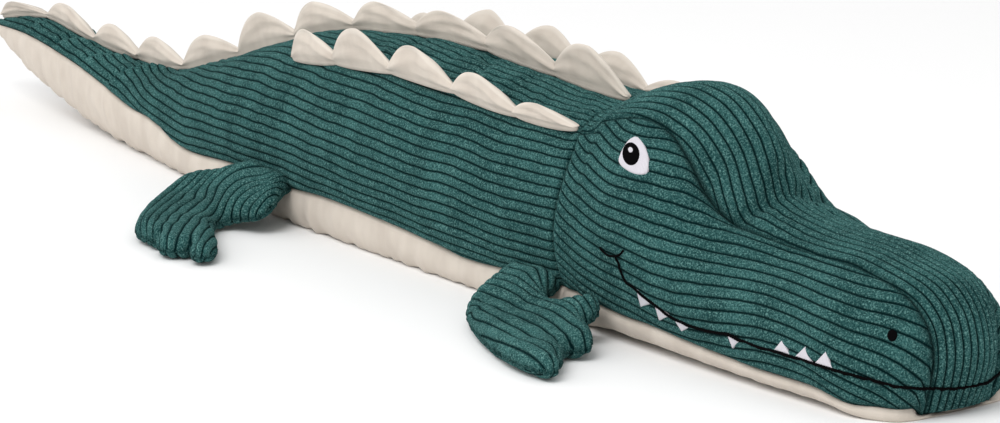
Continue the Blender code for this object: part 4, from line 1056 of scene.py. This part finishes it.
def headSkin():
    controls = controlsAt(np.linspace(cut["neckRow"], len(cut["rows"]) - 1.001, 260))
    places, faces = [], []
    for grid in (sideCurve(controls, 80), backCurve(controls, 40)):
        rows, columns = grid.shape[:2]
        for side in (-1, 1):
            start = len(places)
            places += [tuple(p) for p in (grid * (1, side, 1)).reshape(-1, 3)]
            for a in range(start, start + (rows - 1) * columns, columns):
                faces += [(a + c, a + c + 1, a + c + 1 + columns, a + c + columns) for c in range(columns - 1)]
    return BVHTree.FromPolygons(places, faces)


skin = headSkin()


def onSkin(start, way):
    # millimetres in and out: the place where a line from outside meets the head, and the way out of it there
    spot, out, _, _ = skin.ray_cast(Vector(start) / 1000, Vector(way))
    out = -out if out.dot(Vector(way)) > 0 else out
    spot = np.array(spot)
    fold = softNoise(spot[None], cord["foldSize"], 5)[0] * cord["foldHeight"]
    return (spot + np.array(out) * fold) * 1000, np.array(out)


def fromSide(x, z, side):
    return onSkin((x, side * 150, z), (0, -side, 0))


def ellipse(middle, wide, tall):
    turn = np.linspace(0, 2 * math.pi, 40, endpoint=False)[:, None]
    return np.array(middle) + np.cos(turn) * np.array(wide) + np.sin(turn) * np.array(tall)


def toothOutline(corners):
    # straight at the gum, its two long edges a little hollow
    first, last, point = (np.array(corner, float) for corner in corners)
    line = []
    for start, end, hollow in ((first, last, 0.0), (last, point, face["hollow"]), (point, first, face["hollow"])):
        middle = (first + last + point) / 3
        for part in np.linspace(0, 1, 14, endpoint=False):
            place = start + (end - start) * part
            line.append(place + (middle - place) * hollow * 4 * part * (1 - part))
    return np.array(line)


def buildSatin(name, outlines, side, above, direction):
    # patches of close parallel stitches, domed at the rim, closed underneath
    places, faces, stitch = [], [], []
    for outline in outlines:
        ring = [fromSide(x, z, side) for x, z in outline]
        middle = np.mean([spot for spot, _ in ring], axis=0)
        out = unit(np.mean([way for _, way in ring], axis=0))
        right = unit(np.array([1.0, 0, 0]) - out * out[0])
        up = np.cross(out, right) * (1 if np.cross(out, right)[2] > 0 else -1)
        flat = np.array([((spot - middle) @ right, (spot - middle) @ up) for spot, _ in ring])
        loop = np.vstack([flat, flat[:1]])
        run = lengths(np.diff(loop, axis=0))
        even = np.linspace(0, run[-1], int(run[-1] / face["fine"]), endpoint=False)
        edge = placesOn(loop, run, even)
        plan, far, _, _, cells = fillOutline(edge, face["fine"])
        lay = math.radians(direction)
        number = (plan @ (math.cos(lay), math.sin(lay))) / face["thread"]
        number = number + softNoise(np.hstack([plan, plan[:, :1]]), face["swaySize"], 33) * face["threadSway"]
        dome = np.sqrt(1 - (1 - np.clip(far / face["edge"], 0, 1)) ** 2)
        threads = face["threadDepth"] * np.cos(number * 2 * math.pi) * smoothStep(far / 0.4)
        high = above + face["raise"] * dome + threads
        start, count = len(places), len(plan)
        tops, unders = [], []
        for (u, v), rise in zip(plan, high):
            spot, way = onSkin(middle + right * u + up * v + out * 20, -out)
            tops.append(spot + way * rise)
            unders.append(spot - way * face["under"])
        places += tops + unders
        stitch += list(number) * 2
        faces += [[start + c for c in cell] for cell in cells]
        faces += [[start + count + c for c in cell[::-1]] for cell in cells]
        for a in range(len(edge)):
            b = (a + 1) % len(edge)
            faces.append((start + a, start + b, start + count + b, start + count + a))
    mesh = bpy.data.meshes.new(name)
    mesh.from_pydata([tuple(p / 1000) for p in places], [], faces)
    keepNumbers(mesh, {"stitch": stitch})
    return linked(name, mesh)


def buildLine(name, spots, sizes):
    # a laid cord of slanted stitches, half sunk in the pile
    guide = np.hstack([np.array(spots), np.array(sizes)[:, None]])
    path = roundedLine(guide, 0.30)
    centre, size = path[:, :3].copy(), path[:, 3]
    ways = np.zeros_like(centre)
    for number, place in enumerate(centre):
        outward = np.array(skin.find_nearest(Vector(place) / 1000)[1])
        ways[number] = outward * (1 if outward @ (place - (330, 0, 40)) > 0 else -1)
    run = lengths(np.diff(centre, axis=0))
    ahead = unit(np.gradient(centre, axis=0))
    across = unit(np.cross(ahead, ways))
    chance = softNoise(centre / 1000, 0.006, 57)
    turn = np.linspace(0, 2 * math.pi, 14, endpoint=False)
    ply = 1 + face["plyDepth"] * np.sin(2 * math.pi * run[:, None] / face["ply"] + turn[None] * 2)
    taper = np.minimum(np.minimum(run, run[-1] - run) / 0.6 + 0.35, 1.0)
    uneven = face["lineUneven"] * chance
    wide = (size * taper * (1 + uneven))[:, None] * ply
    middle = centre + across * (chance * face["lineSway"])[:, None] + ways * (face["lineRise"] + uneven)[:, None]
    grid = middle[:, None] + across[:, None] * (np.cos(turn) * wide)[..., None]
    grid = grid + ways[:, None] * (np.sin(turn) * wide * face["lineFlat"])[..., None]
    around = len(turn)
    faces = []
    for row in range(len(grid) - 1):
        for step in range(around):
            a, b = row * around + step, row * around + (step + 1) % around
            faces.append((a, b, b + around, a + around))
    faces += [tuple(range(around)), tuple(range((len(grid) - 1) * around, len(grid) * around))]
    mesh = bpy.data.meshes.new(name)
    mesh.from_pydata([tuple(p / 1000) for p in grid.reshape(-1, 3)], [], faces)
    number = (run[:, None] / face["ply"] + turn[None] / math.pi).ravel()
    keepNumbers(mesh, {"stitch": number})
    return linked(name, mesh)


whiteStitching, blackStitching = [], []
for side, word in ((-1, "Right"), (1, "Left")):
    low = word.lower()
    eye = roundedLine(face["eye"] + face["eye"][:1], 0.5)[:-1]
    piece = buildSatin("eyeWhite" + word, [eye], side, *face["patches"]["eyeWhite"])
    whiteStitching.append((piece, "eye_white_" + low))
    for key, stitching, cadNode in (
        ("pupil", blackStitching, "pupil_" + low), ("glint", whiteStitching, None),
        ("nostril", blackStitching, "nostril_" + low),
    ):
        piece = buildSatin(key + word, [ellipse(*face[key])], side, *face["patches"][key])
        stitching.append((piece, cadNode))
    curl = [fromSide(x, z, side)[0] for x, z in face["curl"]]
    piece = buildLine("smileCurl" + word, curl, [face["thinSize"]] * len(curl))
    blackStitching.append((piece, "smile_curl_" + low))
    teeth = (("teethDown", "upper_teeth_"), ("toothMiddle", "middle_tooth_"), ("teethUp", "lower_teeth_"))
    for key, cadName in teeth:
        outlines = [toothOutline(corners) for corners in face[key]]
        piece = buildSatin(key + word, outlines, side, *face["patches"]["teeth"])
        whiteStitching.append((piece, cadName + low))
halves = []
for side in (-1, 1):
    halves.append([fromSide(x, z, side)[0] for x, z in face["mouth"]])
    halves[-1] += [onSkin((600, side * y, z), (-1, 0, 0))[0] for y, z in face["noseMouth"]]
spots = halves[0] + halves[1][::-1]
sizes = [face["thinSize"]] * 9 + [face["lineSize"]] * (len(halves[0]) - 9)  # thin where it rises to the smile
blackStitching.append((buildLine("mouthLine", spots, sizes + sizes[::-1]), "mouth_line"))
print("face stitched:", len(whiteStitching) + len(blackStitching), "pieces")


def newMaterial(name):
    finish = bpy.data.materials.new(name)
    finish.use_nodes = True
    tree = finish.node_tree
    return finish, tree, tree.nodes["Principled BSDF"]


def feed(tree, value, socket):
    # a number or colour is set on the socket itself, anything else is linked to it
    if isinstance(value, tuple):
        socket.default_value = (*value, 1.0)
    elif isinstance(value, (int, float)):
        socket.default_value = value
    else:
        tree.links.new(value, socket)


def node(tree, kind, given, output=0):
    item = tree.nodes.new(kind)
    for key, value in given.items():
        feed(tree, value, item.inputs[key])
    return item.outputs[output]


def numberOf(tree, name):
    item = tree.nodes.new("ShaderNodeAttribute")
    item.attribute_name = name
    return item.outputs["Fac"]


def maths(tree, operation, first, second=0.5):
    item = tree.nodes.new("ShaderNodeMath")
    item.operation = operation
    feed(tree, first, item.inputs[0])
    feed(tree, second, item.inputs[1])
    return item.outputs[0]


def mixColour(tree, amount, first, second):
    item = tree.nodes.new("ShaderNodeMix")
    item.data_type = "RGBA"
    for number, value in ((0, amount), (6, first), (7, second)):
        feed(tree, value, item.inputs[number])
    return item.outputs[2]


def rangeOf(tree, value, low, high):
    return node(tree, "ShaderNodeMapRange", {0: value, 1: low, 2: high})


def noiseOf(tree, scale, detail, stretch):
    # noise on the object's own places, stretched as asked
    squeeze = tree.nodes.new("ShaderNodeMapping")
    squeeze.inputs["Scale"].default_value = stretch
    tree.links.new(node(tree, "ShaderNodeTexCoord", {}, "Object"), squeeze.inputs["Vector"])
    given = {"Vector": squeeze.outputs[0], "Scale": scale, "Detail": detail, "Roughness": 0.6}
    return node(tree, "ShaderNodeTexNoise", given, "Fac")


# shader effects that more than one finish uses
def shaderGroup(name, inputs, output):
    tree = bpy.data.node_groups.new(name, "ShaderNodeTree")
    for label, value in inputs:
        socket = tree.interface.new_socket(name=label, in_out="INPUT", socket_type="NodeSocketFloat")
        socket.default_value = value
    for label in output:
        tree.interface.new_socket(name=label, in_out="OUTPUT", socket_type="NodeSocketFloat")
    return tree, tree.nodes.new("NodeGroupInput"), tree.nodes.new("NodeGroupOutput")


def buildGrainGroup():
    # fine pile or weave: a value about a half, and soft blotches where the cloth was pressed
    inputs = (("Grain Scale", 1000.0), ("Blotch Scale", 50.0))
    tree, given, out = shaderGroup("clothGrain", inputs, ("Grain", "Blotch"))
    grain = noiseOf(tree, given.outputs["Grain Scale"], 3.0, (1.0, 1.0, 1.0))
    blotch = noiseOf(tree, given.outputs["Blotch Scale"], 2.0, (1.0, 0.6, 0.5))
    tree.links.new(rangeOf(tree, grain, 0.34, 0.66), out.inputs["Grain"])
    tree.links.new(rangeOf(tree, blotch, 0.34, 0.66), out.inputs["Blotch"])
    return tree


def buildGrooveGroup():
    # where one rib or stitch meets the next, from the number kept on the mesh: a mask for a dark line, which on the
    # cord is partly painted shade in the groove
    tree, given, out = shaderGroup("ribGroove", (("Number", 0.0), ("Inner", 0.3), ("Outer", 0.47)), ("Groove",))
    part = maths(tree, "FRACT", given.outputs["Number"])
    off = maths(tree, "ABSOLUTE", maths(tree, "SUBTRACT", part, 0.5))
    groove = rangeOf(tree, off, given.outputs["Inner"], given.outputs["Outer"])
    tree.links.new(groove, out.inputs["Groove"])
    return tree


clothGrain = buildGrainGroup()
ribGroove = buildGrooveGroup()


def placed(tree, group, **values):
    item = tree.nodes.new("ShaderNodeGroup")
    item.node_tree = group
    for key, value in values.items():
        feed(tree, value, item.inputs[key.replace("_", " ")])
    return item.outputs


def finishSurface(tree, shader, settings, colour, relief):
    # what every cloth and thread shares. A uniform value is set on the shader's own socket
    feed(tree, colour, shader.inputs["Base Color"])
    for key, label in (
        ("roughness", "Roughness"), ("shine", "Specular IOR Level"), ("sheen", "Sheen Weight"),
        ("sheenRoughness", "Sheen Roughness"), ("sheenTint", "Sheen Tint"),
    ):
        if key in settings:
            feed(tree, settings[key], shader.inputs[label])
    bump = {"Strength": settings["bump"], "Distance": settings["bumpDepth"], "Height": relief}
    feed(tree, node(tree, "ShaderNodeBump", bump), shader.inputs["Normal"])


# cord finish. Its groove colour is partly the bare ground weave between the wales and partly painted shade in the
# grooves
cordFinish = {
    "nap": (0.043, 0.139, 0.134), "crushed": (0.021, 0.079, 0.078), "bright": (0.155, 0.330, 0.308),
    "shadow": (0.003, 0.024, 0.026), "groove": (0.0002, 0.015, 0.0165),
    "grainScale": 1250.0, "blotchScale": 58.0, "grooveInner": 0.34, "grooveOuter": 0.462,
    "brightShare": 0.85, "shadowShare": 0.75, "seamShadeShare": 0.8,
    "roughness": 0.9, "shine": 0.03, "sheen": 0.04, "sheenRoughness": 0.35, "sheenTint": (0.55, 0.80, 0.76),
    "bump": 0.9, "bumpDepth": 0.0007,
}

# painted light: a lighter copy of the cord finish stands in for the extra light that the paws' upturned tops and
# their nap, lying the other way, catch
litPawCordFinish = {
    **cordFinish, "nap": (0.052, 0.163, 0.156), "crushed": (0.026, 0.093, 0.091), "bright": (0.180, 0.365, 0.340),
}


def buildCordFinish(name, settings):
    finish, tree, shader = newMaterial(name)
    cloth = placed(tree, clothGrain, Grain_Scale=settings["grainScale"], Blotch_Scale=settings["blotchScale"])
    wale = numberOf(tree, "wale")
    groove = placed(tree, ribGroove, Number=wale, Inner=settings["grooveInner"], Outer=settings["grooveOuter"])
    colour = mixColour(tree, cloth["Blotch"], settings["crushed"], settings["nap"])
    lit = maths(tree, "MULTIPLY", rangeOf(tree, cloth["Grain"], 0.55, 1.0), settings["brightShare"])
    dim = maths(tree, "MULTIPLY", rangeOf(tree, cloth["Grain"], 0.45, 0.0), settings["shadowShare"])
    colour = mixColour(tree, lit, colour, settings["bright"])
    colour = mixColour(tree, dim, colour, settings["shadow"])
    # painted shade along the seams and paw rims, in the dark groove colour
    seam = maths(tree, "MULTIPLY", numberOf(tree, "seamShadeMask"), settings["seamShadeShare"])
    # the grooves take the dark groove colour: partly the bare ground weave, partly painted shade
    colour = mixColour(tree, maths(tree, "MAXIMUM", groove["Groove"], seam), colour, settings["groove"])
    finishSurface(tree, shader, settings, colour, cloth["Grain"])
    return finish


cottonFinish = {
    # edge is a lighter colour for the scutes' top edges: a painted highlight where they curve up to face the light
    "thread": (0.665, 0.597, 0.520), "shade": (0.572, 0.505, 0.436), "edge": (0.715, 0.657, 0.586),
    "grainScale": 1900.0, "blotchScale": 70.0, "weavePitch": 0.00055, "weaveInner": 0.15,
    "weaveShare": 0.35, "edgeHighlightShare": 0.5,
    "roughness": 0.85, "shine": 0.25, "sheen": 0.12, "bump": 0.35, "bumpDepth": 0.0003,
}


def buildCottonFinish(name, settings):
    finish, tree, shader = newMaterial(name)
    cloth = placed(tree, clothGrain, Grain_Scale=settings["grainScale"], Blotch_Scale=settings["blotchScale"])
    colour = mixColour(tree, cloth["Blotch"], settings["shade"], settings["thread"])
    yarns = []
    for key in ("walk", "across"):
        number = maths(tree, "DIVIDE", numberOf(tree, key), settings["weavePitch"])
        yarns.append(placed(tree, ribGroove, Number=number, Inner=settings["weaveInner"], Outer=0.5)["Groove"])
    gap = maths(tree, "MAXIMUM", yarns[0], yarns[1])
    # painted highlight along the scutes' rounded top edges
    edge = maths(tree, "MULTIPLY", numberOf(tree, "topEdgeHighlight"), settings["edgeHighlightShare"])
    colour = mixColour(tree, maths(tree, "MULTIPLY", gap, settings["weaveShare"]), colour, settings["shade"])
    colour = mixColour(tree, edge, colour, settings["edge"])
    finishSurface(tree, shader, settings, colour, maths(tree, "SUBTRACT", cloth["Grain"], gap))
    return finish


threadFinish = {
    "grainScale": 2600.0, "blotchScale": 300.0, "stitchInner": 0.25, "gapShare": 0.6, "grainShare": 0.2,
    "bump": 0.4, "bumpDepth": 0.0002,
}
whiteFinish = {
    **threadFinish, "thread": (0.66, 0.64, 0.68), "shade": (0.36, 0.34, 0.38), "roughness": 0.5, "shine": 0.3,
}
blackFinish = {
    **threadFinish, "thread": (0.003, 0.0025, 0.003), "shade": (0.001, 0.001, 0.001), "roughness": 0.8, "shine": 0.02,
}


def buildThreadFinish(name, settings):
    finish, tree, shader = newMaterial(name)
    number = numberOf(tree, "stitch")
    gap = placed(tree, ribGroove, Number=number, Inner=settings["stitchInner"], Outer=0.5)["Groove"]
    cloth = placed(tree, clothGrain, Grain_Scale=settings["grainScale"], Blotch_Scale=settings["blotchScale"])
    gapShade = maths(tree, "MULTIPLY", gap, settings["gapShare"])
    colour = mixColour(tree, gapShade, settings["thread"], settings["shade"])
    fibres = maths(tree, "MULTIPLY", cloth["Grain"], settings["grainShare"])
    colour = mixColour(tree, fibres, colour, settings["shade"])
    finishSurface(tree, shader, settings, colour, maths(tree, "SUBTRACT", cloth["Grain"], gap))
    return finish
cordCloth = buildCordFinish("ribbedCord", cordFinish)
litPawCord = buildCordFinish("litPawCord", litPawCordFinish)
cottonCloth = buildCottonFinish("creamCotton", cottonFinish)
whiteThread = buildThreadFinish("whiteThread", whiteFinish)
blackThread = buildThreadFinish("blackThread", blackFinish)

for piece, nodes in (
    (flankRight, ("flank_panel_right", "body_filling")), (flankLeft, ("flank_panel_left",)),
    (cheekRight, ("cheek_panel_right", "head_filling")), (cheekLeft, ("cheek_panel_left",)),
    (crown, ("crown_panel",)),
):
    piece.data.materials.append(cordCloth)
    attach(piece, "body")
    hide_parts(*nodes)
for piece, cadNode in ((belly, "belly_panel"), (jaw, "jaw_panel")):
    piece.data.materials.append(cottonCloth)
    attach(piece, "body")
    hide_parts(cadNode)

for piece, body in scutePieces:
    piece.data.materials.append(cottonCloth)
    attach(piece, body)
    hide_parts(body)
# the paws take the lighter cord finish, which paints in the light on them
for piece, body in pawPieces:
    piece.data.materials.append(litPawCord)
    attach(piece, body)
    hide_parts(body + "_upper", body + "_sole", body + "_filling")
for stitching, finish, slot in (
    (whiteStitching, whiteThread, "white_thread"), (blackStitching, blackThread, "black_thread"),
):
    for piece, cadNode in stitching:
        piece.data.materials.append(finish)
        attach(piece, "body")
        if cadNode:
            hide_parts(cadNode)
